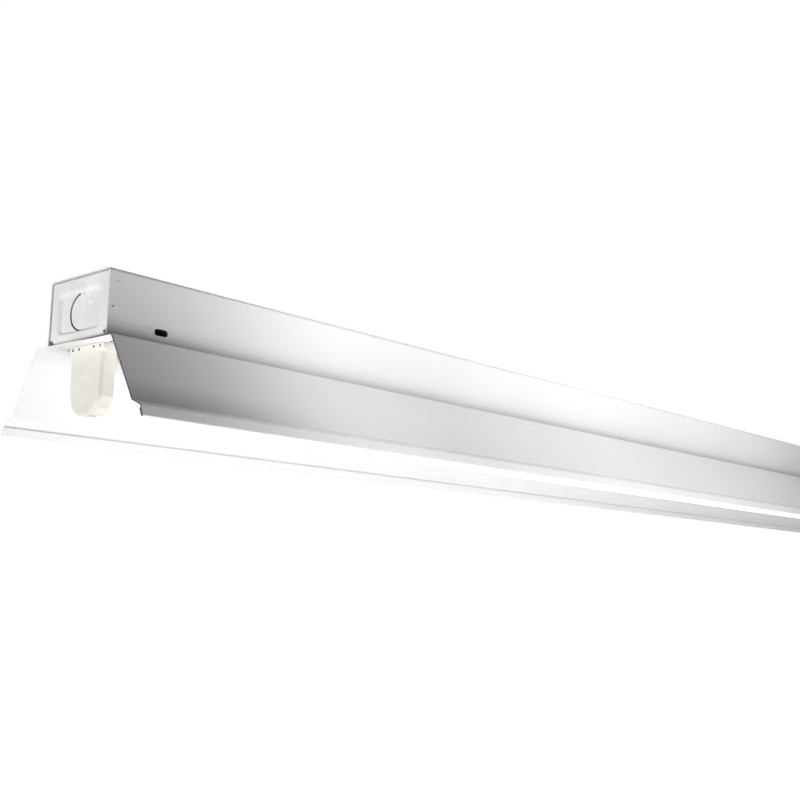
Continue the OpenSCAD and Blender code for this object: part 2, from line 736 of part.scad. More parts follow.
channel_housing();
end_plate_left();
end_plate_right();
reflector();
lampholder_bracket_left();
lampholder_bracket_right();
lampholder_body_left();
lampholder_body_right();
lampholder_cover_left();
lampholder_cover_right();
lampholder_rotor_left();
lampholder_rotor_right();
lampholder_contacts_left();
lampholder_contacts_right();
tube_spine();
tube_lens();
tube_led_board();
tube_led_chips();
tube_driver();
tube_end_cap_left();
tube_end_cap_right();
tube_pins_left();
tube_pins_right();
tube_cap_screws();
latch_bridge_left();
latch_bridge_right();
latch_left();
latch_right();
latch_retainer_left();
latch_retainer_right();
terminal_block();
line_lead();
neutral_lead();
ground_lead();
ground_ring();
ground_screw();
wire_clips();
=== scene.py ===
"""Finishes the LED tube strip light in Blender: finishes, fine pieces, camera, lamps and stage.

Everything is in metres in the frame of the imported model: +X runs along the light, -Y is its
front, +Z is up, and the origin is the middle of the face that lies against the ceiling.
"""

import math

import bmesh
import bpy
from mathutils import Matrix, Vector
from mathutils.geometry import delaunay_2d_cdt


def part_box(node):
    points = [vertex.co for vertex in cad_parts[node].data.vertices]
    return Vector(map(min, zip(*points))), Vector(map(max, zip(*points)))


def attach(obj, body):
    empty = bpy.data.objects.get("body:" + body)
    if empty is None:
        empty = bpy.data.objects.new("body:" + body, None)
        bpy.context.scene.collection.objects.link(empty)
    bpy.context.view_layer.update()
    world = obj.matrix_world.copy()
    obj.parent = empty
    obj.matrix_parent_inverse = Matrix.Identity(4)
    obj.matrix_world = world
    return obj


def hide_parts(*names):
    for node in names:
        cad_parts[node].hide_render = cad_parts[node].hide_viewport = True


bl_info = {
    "name": "Strip Light Finisher",
    "version": (1, 0, 0),
    "blender": (4, 5, 0),
    "location": "View3D > Sidebar > Strip Light",
    "description": "Finishes a ceiling strip light with one LED tube around its CAD frame",
    "category": "Object",
}

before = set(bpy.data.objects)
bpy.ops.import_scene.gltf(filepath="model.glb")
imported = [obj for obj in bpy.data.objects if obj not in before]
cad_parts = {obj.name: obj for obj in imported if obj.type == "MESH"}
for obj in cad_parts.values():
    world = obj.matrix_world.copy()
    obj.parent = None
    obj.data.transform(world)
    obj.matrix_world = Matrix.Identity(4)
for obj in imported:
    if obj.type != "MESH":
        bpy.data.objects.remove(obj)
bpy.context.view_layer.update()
SIDES = ("left", "right")
MM = 0.001
SMALL = 1e-6  # metres that make no difference


def mm(*sizes):
    """Millimetres in the frame's metres."""
    return tuple(size * MM for size in sizes)


# Places on the sheet metal where its finish changes, worked out from the frame
CHANNEL_LEFT, CHANNEL_FRONT, CHANNEL_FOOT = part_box("channel_housing")[0]
REFLECTOR_LEFT, _, REFLECTOR_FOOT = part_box("reflector")[0]
REFLECTOR_END, _, REFLECTOR_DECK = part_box("reflector")[1]
PLATE_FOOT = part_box("end_plate_left")[0][2] - 0.2 * MM
WING_FOOT = REFLECTOR_FOOT + 9.4 * MM


# Shader node groups: effects that several finishes share


def new_group(name, inputs, outputs):
    """An empty shader node group with its input and output nodes."""
    group = bpy.data.node_groups.new(name, "ShaderNodeTree")
    for title, value in inputs.items():
        kind = "NodeSocketVector" if isinstance(value, tuple) else "NodeSocketFloat"
        socket = group.interface.new_socket(name=title, in_out="INPUT", socket_type=kind)
        socket.default_value = value
    for title in outputs:
        group.interface.new_socket(name=title, in_out="OUTPUT", socket_type="NodeSocketFloat")
    return group, group.nodes.new("NodeGroupInput"), group.nodes.new("NodeGroupOutput")


def node(tree, kind, **settings):
    """Adds a node; a setting named after a socket sets or feeds it, any other is a property."""
    made = tree.nodes.new(kind)
    for key, value in settings.items():
        if hasattr(made, key):
            setattr(made, key, value)
    for key, value in settings.items():
        title = key.replace("_", " ")
        found = [s for s in made.inputs if s.name.lower() == title.lower() and s.enabled]
        if hasattr(made, key) or not found:
            continue
        if isinstance(value, bpy.types.NodeSocket):
            tree.links.new(value, found[0])
        else:
            found[0].default_value = value
    return made


def math_node(tree, operation, a, b=None, c=None, clamp=False):
    """The result of a sum on up to three values, each a number or another node's output."""
    made = tree.nodes.new("ShaderNodeMath")
    made.operation = operation
    made.use_clamp = clamp
    for socket, value in zip(made.inputs, (a, b, c)):
        if isinstance(value, bpy.types.NodeSocket):
            tree.links.new(value, socket)
        elif value is not None:
            socket.default_value = value
    return made.outputs[0]


def vector_node(tree, operation, a, b=None):
    """The result of a sum on one or two vectors."""
    made = tree.nodes.new("ShaderNodeVectorMath")
    made.operation = operation
    tree.links.new(a, made.inputs[0])
    if b is not None:
        tree.links.new(b, made.inputs[1])
    return made.outputs["Value" if operation == "LENGTH" else "Vector"]


def axes(tree, vector):
    """The X, Y and Z outputs of a vector."""
    parts = tree.nodes.new("ShaderNodeSeparateXYZ")
    tree.links.new(vector, parts.inputs[0])
    return parts.outputs


def ramp(tree, value, low, high):
    """Value spread so that low gives 0 and high gives 1, eased at both ends."""
    made = tree.nodes.new("ShaderNodeMapRange")
    made.interpolation_type = "SMOOTHSTEP"
    tree.links.new(value, made.inputs["Value"])
    made.inputs["From Min"].default_value = low
    made.inputs["From Max"].default_value = high
    return made.outputs["Result"]


def grain_group():
    """Fine surface grain: a height for bumps and a tone that drifts over the surface."""
    group, given, result = new_group(
        "Surface grain",
        {"Grain scale": 900.0, "Drift scale": 14.0, "Stretch": (1.0, 1.0, 1.0)},
        ("Height", "Tone"))
    place = group.nodes.new("ShaderNodeTexCoord").outputs["Object"]
    stretched = vector_node(group, "MULTIPLY", place, given.outputs["Stretch"])
    fine = node(group, "ShaderNodeTexNoise", Vector=stretched,
                Scale=given.outputs["Grain scale"], Detail=3.0, Roughness=0.6)
    drift = node(group, "ShaderNodeTexNoise", Vector=place,
                 Scale=given.outputs["Drift scale"], Detail=2.0, Roughness=0.5)
    fine_share, drift_share = 0.8, 0.2
    height = math_node(group, "ADD", math_node(group, "MULTIPLY", fine.outputs[0], fine_share),
                       math_node(group, "MULTIPLY", drift.outputs[0], drift_share))
    group.links.new(height, result.inputs["Height"])
    group.links.new(ramp(group, drift.outputs[0], 0.3, 0.7), result.inputs["Tone"])
    return group


def scuff_group():
    """Handling marks: faint streaks along the light and a few small specks."""
    group, given, result = new_group(
        "Handling marks", {"Streak scale": 60.0, "Speck scale": 130.0, "Speck size": 0.06},
        ("Streaks", "Specks"))
    place = group.nodes.new("ShaderNodeTexCoord").outputs["Object"]
    long_way = node(group, "ShaderNodeMapping", vector_type="POINT", Vector=place,
                    Scale=(0.12, 1.0, 1.0), Rotation=(0.0, 0.12, 0.0))
    streaks = node(group, "ShaderNodeTexNoise", Vector=long_way.outputs[0],
                   Scale=given.outputs["Streak scale"], Detail=4.0, Roughness=0.65)
    cells = node(group, "ShaderNodeTexVoronoi", feature="F1", Vector=place,
                 Scale=given.outputs["Speck scale"], Randomness=1.0)
    sparse = node(group, "ShaderNodeTexNoise", Vector=place, Scale=22.0, Detail=1.0)
    near = math_node(group, "LESS_THAN", cells.outputs["Distance"], given.outputs["Speck size"])
    specks = math_node(group, "MULTIPLY", near, ramp(group, sparse.outputs[0], 0.60, 0.66))
    group.links.new(ramp(group, streaks.outputs[0], 0.60, 0.78), result.inputs["Streaks"])
    group.links.new(specks, result.inputs["Specks"])
    return group


def facing_group():
    """Where sheared ends are thinly coated, shown on the front ends only and left pale at the back
    as painted glare, and where dust settles on what looks up.
    """
    group, given, result = new_group("Facing", {"Dust scale": 30.0, "End": REFLECTOR_END},
                                     ("Sheared", "Dust"))
    coordinates = group.nodes.new("ShaderNodeTexCoord").outputs
    where, facing = axes(group, coordinates["Object"]), axes(group, coordinates["Normal"])
    past_end = math_node(group, "SUBTRACT", math_node(group, "ABSOLUTE", where["X"]),
                         given.outputs["End"])
    along = ramp(group, math_node(group, "ABSOLUTE", facing["X"]), 0.90, 0.97)
    sheared = math_node(group, "MAXIMUM", along, ramp(group, past_end, *mm(-0.6, -0.2)))
    # Painted glare: only the front ends take the dark sheared colour, the back ends stay pale
    front = ramp(group, math_node(group, "MULTIPLY", where["Y"], -1.0), *mm(-10.0, 20.0))
    group.links.new(math_node(group, "MULTIPLY", sheared, front), result.inputs["Sheared"])
    cloud = node(group, "ShaderNodeTexNoise", Vector=coordinates["Object"],
                 Scale=given.outputs["Dust scale"], Detail=4.0, Roughness=0.6)
    dust = math_node(group, "MULTIPLY", ramp(group, facing["Z"], 0.6, 0.95),
                     ramp(group, cloud.outputs[0], 0.35, 0.65))
    group.links.new(dust, result.inputs["Dust"])
    return group


def ledge_shade_group():
    """Painted shade above a ledge on what faces outwards, heavier near the left end."""
    group, given, result = new_group(
        "Ledge grime", {"Foot": 0.0, "Height": 0.007, "Even": 0.5, "Heavy": 0.4}, ("Mark",))
    coordinates = group.nodes.new("ShaderNodeTexCoord").outputs
    where, facing = axes(group, coordinates["Object"]), axes(group, coordinates["Normal"])
    up = math_node(group, "SUBTRACT", where["Z"], given.outputs["Foot"])
    height = math_node(group, "DIVIDE", up, given.outputs["Height"], clamp=True)
    fade = 1.25
    low = math_node(group, "POWER", math_node(group, "SUBTRACT", 1.0, height), fade)
    above = ramp(group, up, *mm(-0.6, -0.2))
    cloud = node(group, "ShaderNodeTexNoise", Vector=coordinates["Object"], Scale=25.0,
                 Detail=2.0)
    cloud_share, least = 0.3, 0.85
    uneven = math_node(group, "MULTIPLY_ADD", cloud.outputs[0], cloud_share, least)
    even = math_node(group, "MULTIPLY", given.outputs["Even"], uneven)
    left = ramp(group, math_node(group, "MULTIPLY", where["X"], -1.0), *mm(460.0, 600.0))
    heavy = math_node(group, "MULTIPLY", left, given.outputs["Heavy"])
    amount = math_node(group, "ADD", heavy, even, clamp=True)
    outward = math_node(group, "MULTIPLY", math_node(group, "SIGN", where["Y"]), facing["Y"])
    shown = math_node(group, "MULTIPLY", ramp(group, outward, -0.1, 0.2), above)
    mark = math_node(group, "MULTIPLY", math_node(group, "MULTIPLY", low, amount), shown)
    group.links.new(mark, result.inputs["Mark"])
    return group


def spot_group():
    """One ragged mark on a surface, at a place and of a size in metres."""
    group, given, result = new_group(
        "Spot", {"Place": (0.0, 0.0, 0.0), "Size": (0.001, 0.001, 0.001)}, ("Mark",))
    place = group.nodes.new("ShaderNodeTexCoord").outputs["Object"]
    offset = vector_node(group, "SUBTRACT", place, given.outputs["Place"])
    reach = vector_node(group, "LENGTH",
                        vector_node(group, "DIVIDE", offset, given.outputs["Size"]))
    ragged = node(group, "ShaderNodeTexNoise", Vector=place, Scale=1500.0, Detail=2.0)
    edge = math_node(group, "SUBTRACT", ragged.outputs[0], reach)
    group.links.new(ramp(group, edge, -0.55, -0.30), result.inputs["Mark"])
    return group


# Finishes: one material each, made once for all the pieces that have it

EFFECTS = {}
FINISHES = {}
WHITE = (1.0, 1.0, 1.0, 1.0)


def toned(colour, share):
    """A colour made darker, or lighter where share is over 1."""
    return [channel * share for channel in colour]


class Finish:
    """One material: a Principled shader whose colour, roughness and bump vary over it."""

    def __init__(self, name, colour, roughness, **plain):
        self.material = bpy.data.materials.new(name)
        self.material.use_nodes = True
        self.tree = self.material.node_tree
        self.shader = self.tree.nodes["Principled BSDF"]
        self.colour = (*colour, 1.0)
        self.roughness = roughness
        self.shader.inputs["Base Color"].default_value = self.colour
        self.shader.inputs["Roughness"].default_value = roughness
        for socket, value in plain.items():
            self.shader.inputs[socket.replace("_", " ")].default_value = value
        self.material.diffuse_color = self.colour
        FINISHES[name] = self

    def place(self, effect, **values):
        """Places an effect's node group with its own values and gives the group's outputs."""
        if effect not in EFFECTS:
            EFFECTS[effect] = effect()
        made = self.tree.nodes.new("ShaderNodeGroup")
        made.node_tree = EFFECTS[effect]
        for title, value in values.items():
            made.inputs[title.replace("_", " ")].default_value = value
        return made.outputs

    def tint(self, mask, colour, amount=1.0):
        """Mixes colour into the base colour where mask is high."""
        mix = self.tree.nodes.new("ShaderNodeMix")
        mix.data_type = "RGBA"
        self.tree.links.new(math_node(self.tree, "MULTIPLY", mask, amount), mix.inputs["Factor"])
        base = self.shader.inputs["Base Color"]
        if base.is_linked:
            self.tree.links.new(base.links[0].from_socket, mix.inputs["A"])
        else:
            mix.inputs["A"].default_value = self.colour
        mix.inputs["B"].default_value = (*colour, 1.0)
        self.tree.links.new(mix.outputs["Result"], base)

    def spot(self, place, size, colour):
        """Puts one ragged mark on the surface."""
        self.tint(self.place(spot_group, Place=place, Size=size)["Mark"], colour, 0.9)

    def vary_roughness(self, mask, spread):
        """Spreads the roughness about its value, highest where mask is high."""
        varied = math_node(self.tree, "MULTIPLY_ADD", mask, spread, self.roughness - spread / 2)
        self.tree.links.new(varied, self.shader.inputs["Roughness"])

    def bump(self, height, distance):
        """Makes the surface look raised where height is high, by up to a distance in metres."""
        made = node(self.tree, "ShaderNodeBump", Height=height, Distance=distance, Strength=1.0)
        self.tree.links.new(made.outputs[0], self.shader.inputs["Normal"])


SPECK_COLOUR = (0.25, 0.24, 0.22)
DUST_COLOUR = (0.62, 0.60, 0.56)
DARK_COLOUR = (0.05, 0.04, 0.04)
PALE_COLOUR = (0.95, 0.95, 0.95)

# Marks that handling left on the channel's front: each has its distance from the left end and
# its height, then its size along, across and up
DARK_SPOTS = ((mm(3.1, -21.7), mm(0.9, 0.5, 0.5)), (mm(5.4, -7.2), mm(0.5, 0.5, 0.35)),
              (mm(7.8, -7.6), mm(0.35, 0.5, 0.3)))
PALE_SCRAPES = ((mm(4.4, -22.8), mm(0.3, 0.5, 1.2)), (mm(5.8, -22.4), mm(1.3, 0.5, 0.3)),
                (mm(6.4, -24.6), mm(0.9, 0.5, 0.25)), (mm(7.4, -26.4), mm(0.7, 0.5, 0.25)))

# Colour and roughness of the plain mouldings, coatings and sleeves
PLASTICS = {
    "Rotor plastic": ((0.80, 0.80, 0.77), 0.30),
    "Latch plastic": ((0.80, 0.80, 0.78), 0.32),
    "Board mask": ((0.78, 0.78, 0.74), 0.45),
    "Phosphor": ((0.80, 0.62, 0.12), 0.50),
    "Driver board": ((0.02, 0.10, 0.03), 0.45),
    "Block nylon": ((0.72, 0.71, 0.67), 0.45),
    "Clip nylon": ((0.70, 0.68, 0.62), 0.50),
    "Black sleeve": ((0.015, 0.015, 0.016), 0.45),
    "White sleeve": ((0.70, 0.70, 0.67), 0.45),
    "Green sleeve": ((0.02, 0.14, 0.05), 0.45),
}

# Colour and roughness of the metals, and how their grain is stretched
ALONG, EVEN = (0.03, 1.0, 1.0), (1.0, 1.0, 1.0)
METALS = {
    "Zinc plate": ((0.62, 0.63, 0.64), 0.34, ALONG),
    "Spring bronze": ((0.66, 0.42, 0.18), 0.30, ALONG),
    "Pin brass": ((0.72, 0.53, 0.22), 0.24, EVEN),
    "Drawn aluminium": ((0.72, 0.72, 0.73), 0.36, ALONG),
    "Green zinc": ((0.04, 0.22, 0.08), 0.40, EVEN),
}


def enamelled(name, colour, bare=0.0):
    """Enamel on sheet metal; bare is how much the sheared ends' colour shows."""
    look = bpy.context.scene.strip_light_look
    made = Finish(name, colour, look.enamel_roughness, Specular_IOR_Level=look.enamel_shine)
    skin = made.place(grain_group, Grain_scale=700.0, Drift_scale=11.0)
    wear = made.place(scuff_group)
    side = made.place(facing_group)
    marked = 0.25
    made.tint(skin["Tone"], toned(colour, 0.975))
    made.tint(wear["Streaks"], toned(colour, 0.80), marked)
    made.tint(wear["Specks"], SPECK_COLOUR, marked)
    made.tint(side["Dust"], DUST_COLOUR, 0.25)
    if bare:
        made.tint(side["Sheared"], look.sheared_colour, bare)
    made.vary_roughness(skin["Tone"], 0.08)
    made.bump(skin["Height"], 0.02 * MM)
    return made


def channel_enamel():
    """The channel's enamel, with painted shade along its foot and marks near its left end."""
    made = enamelled("Channel enamel", bpy.context.scene.strip_light_look.enamel_colour)
    painted_shade = made.place(ledge_shade_group, Foot=CHANNEL_FOOT, Height=7.2 * MM, Even=0.58, Heavy=0.38)
    # Painted shade along the channel's foot, where the reflector's ledge keeps light off it
    made.tint(painted_shade["Mark"], (0.02, 0.02, 0.02))
    for marks, colour in ((DARK_SPOTS, DARK_COLOUR), (PALE_SCRAPES, PALE_COLOUR)):
        for (along, up), size in marks:
            made.spot((CHANNEL_LEFT + along, CHANNEL_FRONT, up), size, colour)


def plate_enamel():
    """The end plates' enamel, with small marks and painted shade above the bottom bend."""
    look = bpy.context.scene.strip_light_look
    # Painted light: the end plates' enamel is lighter than the channel's for the brighter light on
    # them
    made = Finish("Plate enamel", look.plate_lit_colour, look.enamel_roughness,
                  Specular_IOR_Level=look.enamel_shine)
    skin = made.place(grain_group, Grain_scale=700.0, Drift_scale=40.0)
    wear = made.place(scuff_group, Streak_scale=90.0, Speck_scale=200.0)
    painted_shade = made.place(ledge_shade_group, Foot=PLATE_FOOT, Height=3.2 * MM, Even=0.5, Heavy=0.2)
    made.tint(skin["Tone"], toned(look.enamel_colour, 0.965))
    made.tint(wear["Streaks"], toned(look.enamel_colour, 0.82), 0.2)
    made.tint(wear["Specks"], SPECK_COLOUR, 0.3)
    # Painted shade above the bottom bend, where the bottom flange shades the plate
    made.tint(painted_shade["Mark"], (0.05, 0.05, 0.05))
    made.vary_roughness(skin["Tone"], 0.08)
    made.bump(skin["Height"], 0.03 * MM)


def reflector_enamel():
    """The reflector's enamel, with painted shade on its wings and a dark mark under its deck."""
    look = bpy.context.scene.strip_light_look
    made = enamelled("Reflector enamel", look.reflector_colour, look.sheared_show)
    painted_shade = made.place(ledge_shade_group, Foot=WING_FOOT, Height=14.0 * MM, Even=0.0, Heavy=0.42)
    # Painted shade on the wings' outer faces towards their foot, near the left end
    made.tint(painted_shade["Mark"], (0.10, 0.09, 0.08))
    along, across, down = mm(12.0, 19.4, 0.7)
    made.spot((REFLECTOR_LEFT + along, across, REFLECTOR_DECK - down), mm(1.3, 3.2, 1.0),
              DARK_COLOUR)


def moulded(name, colour, roughness, **plain):
    """A moulding, coating or sleeve with a fine texture."""
    made = Finish(name, colour, roughness, **plain)
    skin = made.place(grain_group, Grain_scale=1600.0, Drift_scale=60.0)
    made.tint(skin["Tone"], toned(colour, 0.94))
    made.vary_roughness(skin["Tone"], 0.10)
    made.bump(skin["Height"], 0.015 * MM)


def drawn(name, colour, roughness, stretch):
    """Bare or plated metal, with faint streaks."""
    made = Finish(name, colour, roughness, Metallic=1.0)
    skin = made.place(grain_group, Grain_scale=2600.0, Drift_scale=45.0, Stretch=stretch)
    wear = made.place(scuff_group)
    made.tint(skin["Tone"], toned(colour, 0.86))
    made.tint(wear["Streaks"], toned(colour, 0.70), 0.5)
    made.vary_roughness(skin["Tone"], 0.14)
    made.bump(skin["Height"], 0.01 * MM)


def make_finishes():
    """Makes every finish of the light."""
    look = bpy.context.scene.strip_light_look
    channel_enamel()
    plate_enamel()
    reflector_enamel()
    depth = {"Subsurface_Weight": 0.08, "Subsurface_Scale": 2.0 * MM}
    # Painted light: cover and body share one plastic, the body made lighter and the cover darker
    # for how each is lit
    moulded("Cover plastic", toned(look.holder_colour, 0.98), 0.42, **depth)
    moulded("Holder plastic", toned(look.holder_colour, 1.07), 0.38, **depth)
    # Painted shade: the small holes' walls and bottoms are coloured dark
    moulded("Pit shade", toned(look.holder_colour, 0.12), 0.6)
    # Painted light: the caps glow, though they give no light of their own, to lighten their shade
    moulded("Cap plastic", (0.80, 0.80, 0.79), 0.30, Emission_Color=WHITE,
            Emission_Strength=look.cap_painted_glow)
    moulded("Opal lens", look.lens_colour, 0.40, Emission_Color=WHITE,
            Emission_Strength=look.lens_glow)
    for name, (colour, roughness) in PLASTICS.items():
        moulded(name, colour, roughness)
    for name, (colour, roughness, stretch) in METALS.items():
        drawn(name, colour, roughness, stretch)


def finish(name):
    """The finish of that name, made the first time it is asked for."""
    if not FINISHES:
        make_finishes()
    return FINISHES[name].material


# Dressing the CAD nodes, and adding pieces of the scene's own


def dress(name, finish_name):
    """Gives a CAD node its finish."""
    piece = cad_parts[name]
    piece.data.materials.clear()
    piece.data.materials.append(finish(finish_name))
    return piece


def soften(piece, width, turns=2):
    """Rounds a node's edges as its mould or die leaves them; the width is in millimetres."""
    flat_within, sharper_than = math.radians(0.5), math.radians(35.0)
    joined = piece.modifiers.new("Joined faces", "WELD")
    joined.merge_threshold = SMALL
    flat = piece.modifiers.new("Whole flats", "DECIMATE")
    flat.decimate_type = "DISSOLVE"
    flat.angle_limit = flat_within
    rounded = piece.modifiers.new("Rounded edges", "BEVEL")
    rounded.width = width * MM
    rounded.segments = turns
    rounded.limit_method = "ANGLE"
    rounded.angle_limit = sharper_than
    rounded.harden_normals = True
    even = piece.modifiers.new("Even shading", "WEIGHTED_NORMAL")
    even.keep_sharp = True


def dress_pair(stem, finish_name, edge=None, turns=2):
    """Finishes the left and the right node of a pair, and rounds their edges if asked."""
    for side in SIDES:
        piece = dress(stem + "_" + side, finish_name)
        if edge is not None:
            soften(piece, edge, turns)


def add_piece(name, shape, body, finish_name, slot_name, *replaced):
    """Turns a bmesh into a piece that rides a body and stands for CAD nodes."""
    mesh = bpy.data.meshes.new(name)
    shape.to_mesh(mesh)
    shape.free()
    for face in mesh.polygons:
        face.use_smooth = True
    piece = bpy.data.objects.new(name, mesh)
    bpy.context.scene.collection.objects.link(piece)
    mesh.materials.append(finish(finish_name))
    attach(piece, body)
    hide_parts(*replaced)
    return piece


def eased(value):
    """0 below 0, 1 above 1, and a smooth rise between."""
    value = min(max(value, 0.0), 1.0)
    return value * value * (3.0 - 2.0 * value)


def polar(radius, angle):
    """The point at a radius and an angle in degrees."""
    turn = math.radians(angle)
    return radius * math.cos(turn), radius * math.sin(turn)


def end_box(stem, side):
    """The box of a node at one end, the X of its outer face and the way in from there."""
    low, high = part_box(stem + "_" + side)
    if side == "left":
        return low, high, low[0], 1.0
    return low, high, high[0], -1.0


# End plates: a pressed face, a sheared disc held by two ties, and flanges folded back

RECESS_CORNER = 1.8  # radius of the recess's corners, in widths of its slopes
TIE_REACH = 14.0  # degrees from a tie's middle to where its form ends
TIE_FADE = 9.0  # degrees over which it ends
TIE_ON_DISC, TIE_RISE = mm(4.5, 3.4)  # how far a tie runs in from the opening, and its rise
TIE_LIFT = 1.8  # how far it stands out from the disc, in the disc's own depths
TIE_ON_PANEL = 1.6 * MM  # how far its root runs out from the opening
ROOT_LIFT = 0.5  # how far the root stands out, in the disc's depths
ANGLE_STEP = 2.5  # degrees between the mesh's spokes
DISC_RINGS, PANEL_RINGS = 9, 32
BEND_STEPS, FLANGE_STEPS = 6, 3
SHEARED_EDGE, SHEARED_ANGLE = 0.12 * MM, math.radians(60.0)


class EndPlateSkin:
    """The outer skin of an end plate: one sheet with a C-shaped gap round its disc."""

    def __init__(self, side, plate):
        self.plate = plate
        self.low, self.high, self.front, self.way = end_box("end_plate", side)
        self.half_y = self.high[1] - plate.seam - plate.fold
        self.bottom = self.low[2] + plate.bend
        self.top = self.high[2] - plate.seam - plate.fold
        self.ties = [math.degrees(tie) for tie in plate.ties]
        self.tie_half = math.degrees(plate.tie_half)
        self.shape = bmesh.new()

    def spokes(self):
        """Directions from the disc's middle, in degrees: even ones, and those of every corner."""
        notch = self.plate.notch - self.plate.bend
        corners = [(self.half_y, self.top), (self.half_y, self.bottom + notch),
                   (self.half_y, self.bottom), (self.half_y - notch, self.bottom)]
        angles = [k * ANGLE_STEP for k in range(round(360.0 / ANGLE_STEP))]
        angles += [math.degrees(math.atan2(z - self.plate.disc_middle, s * y))
                   for y, z in corners for s in (1, -1)]
        angles += [tie + s * self.tie_half for tie in self.ties for s in (-1, 1)]
        return sorted({round(angle % 360.0, 4) for angle in angles})

    def reach(self, angle):
        """How far the edge of the flat face lies from the disc's middle."""
        along, up = polar(1.0, angle)
        middle = self.plate.disc_middle
        limit = self.top - middle if up > 0 else middle - self.bottom
        return min(self.half_y / max(abs(along), SMALL), limit / max(abs(up), SMALL))

    def tie_share(self, angle):
        """1 in the middle of a tie and 0 away from both of them."""
        away = min(abs((angle - tie + 180.0) % 360.0 - 180.0) for tie in self.ties)
        return eased((TIE_REACH - away) / TIE_FADE)

    def on_tie(self, angle):
        """Whether a direction from the disc's middle runs through a tie, or between the two."""
        first, last = self.ties
        return first - self.tie_half < angle < last + self.tie_half

    def pressed_depth(self, y, z):
        """How far the face lies behind its rim."""
        plate = self.plate
        across = (plate.panel_width / 2 - abs(y)) / plate.side_slope
        upright = (plate.panel_height / 2 - abs(z - plate.panel_middle)) / plate.end_slope
        inner = RECESS_CORNER - math.hypot(max(RECESS_CORNER - across, 0.0),
                                           max(RECESS_CORNER - upright, 0.0))
        return plate.panel_depth * eased(min(inner, across, upright))

    def skin_point(self, radius, angle):
        """A vertex of the face: pressed in, with the disc set back and the ties drawn out."""
        plate = self.plate
        y, up = polar(radius, angle)
        z = plate.disc_middle + up
        tie, outside = self.tie_share(angle), radius - plate.disc_radius
        depth = self.pressed_depth(y, z)
        if outside <= SMALL - plate.gap:
            lift = tie * eased((outside + TIE_ON_DISC) / TIE_RISE)
            depth += plate.sink * (1.0 - TIE_LIFT * lift)
        else:
            root = tie * eased((TIE_ON_PANEL - outside) / TIE_ON_PANEL)
            depth -= plate.sink * ROOT_LIFT * root
        return self.shape.verts.new((self.front + self.way * depth, y, z))

    def fold_back(self, columns, radius, depth):
        """Folds a flange back from an edge; each column is a vertex and the way out from it."""
        inwards = Vector((self.way, 0.0, 0.0))
        turns = [math.pi / 2 * k / BEND_STEPS for k in range(1, BEND_STEPS + 1)]
        steps = [(radius * math.sin(turn), radius * (1.0 - math.cos(turn))) for turn in turns]
        steps += [(radius, radius + (depth - radius) * k / FLANGE_STEPS)
                  for k in range(1, FLANGE_STEPS + 1)]
        rows = [[start] + [self.shape.verts.new(start.co + outwards * out + inwards * back)
                           for out, back in steps] for start, outwards in columns]
        for one, other in zip(rows, rows[1:]):
            for k in range(len(steps)):
                corners = [one[k], one[k + 1], other[k + 1], other[k]]
                if other[k] is one[k]:
                    corners.pop()
                self.shape.faces.new(corners)

    def fold_flanges(self, rim):
        """Folds the sides and the top back as one flange, and the bottom as another."""
        plate, half_y = self.plate, self.half_y
        right, up = Vector((0.0, 1.0, 0.0)), Vector((0.0, 0.0, 1.0))
        sides = [v for v in rim if abs(v.co.y) > half_y - SMALL
                 and v.co.z > self.low[2] + plate.notch - SMALL]
        right_side = sorted((v for v in sides if v.co.y > 0), key=lambda v: v.co.z)
        left_side = sorted((v for v in sides if v.co.y < 0), key=lambda v: -v.co.z)
        over = sorted((v for v in rim if v.co.z > self.top - SMALL), key=lambda v: -v.co.y)
        foot = sorted((v for v in rim if v.co.z < self.bottom + SMALL
                       and abs(v.co.y) < self.high[1] - plate.notch + SMALL),
                      key=lambda v: v.co.y)
        columns = [(v, right) for v in right_side] + self.fan(right_side[-1], 0.0)
        columns += [(v, up) for v in over] + self.fan(left_side[0], 90.0)
        columns += [(v, -right) for v in left_side]
        self.fold_back(columns, plate.fold, self.high[0] - self.low[0])
        self.fold_back([(v, -up) for v in foot], plate.bend, plate.foot)

    def fan(self, corner, start):
        """Ways out from a corner, turning through the quarter that begins at start degrees."""
        turns = [start + 90.0 * k / BEND_STEPS for k in range(1, BEND_STEPS)]
        return [(corner, Vector((0.0, *polar(1.0, turn)))) for turn in turns]

    def build(self):
        """The whole sheet as a bmesh, facing outwards."""
        plate, shape, angles = self.plate, self.shape, self.spokes()
        edge = plate.disc_radius - plate.gap
        disc = [[self.skin_point(edge * k / DISC_RINGS, angle) for angle in angles]
                for k in range(1, DISC_RINGS + 1)]
        widths = [(angle, self.reach(angle) - plate.disc_radius) for angle in angles]
        panel = [[self.skin_point(plate.disc_radius + width * k / PANEL_RINGS, angle)
                  for angle, width in widths] for k in range(PANEL_RINGS + 1)]
        middle = self.skin_point(0.0, 0.0)
        strips = [*zip(disc, disc[1:]), *zip(panel, panel[1:])]
        for i, angle in enumerate(angles):
            j = (i + 1) % len(angles)
            shape.faces.new((middle, disc[0][i], disc[0][j]))
            held = self.on_tie((angle + angles[j] + (360.0 if j == 0 else 0.0)) / 2)
            bridged = [(disc[-1], panel[0])] if held else []
            for inner, outer in strips + bridged:
                shape.faces.new((inner[i], outer[i], outer[j], inner[j]))
        self.fold_flanges(panel[-1])
        bmesh.ops.recalc_face_normals(shape, faces=shape.faces)
        shape.faces.ensure_lookup_table()
        if shape.faces[0].normal.x * self.way > 0:
            bmesh.ops.reverse_faces(shape, faces=shape.faces)
        return shape


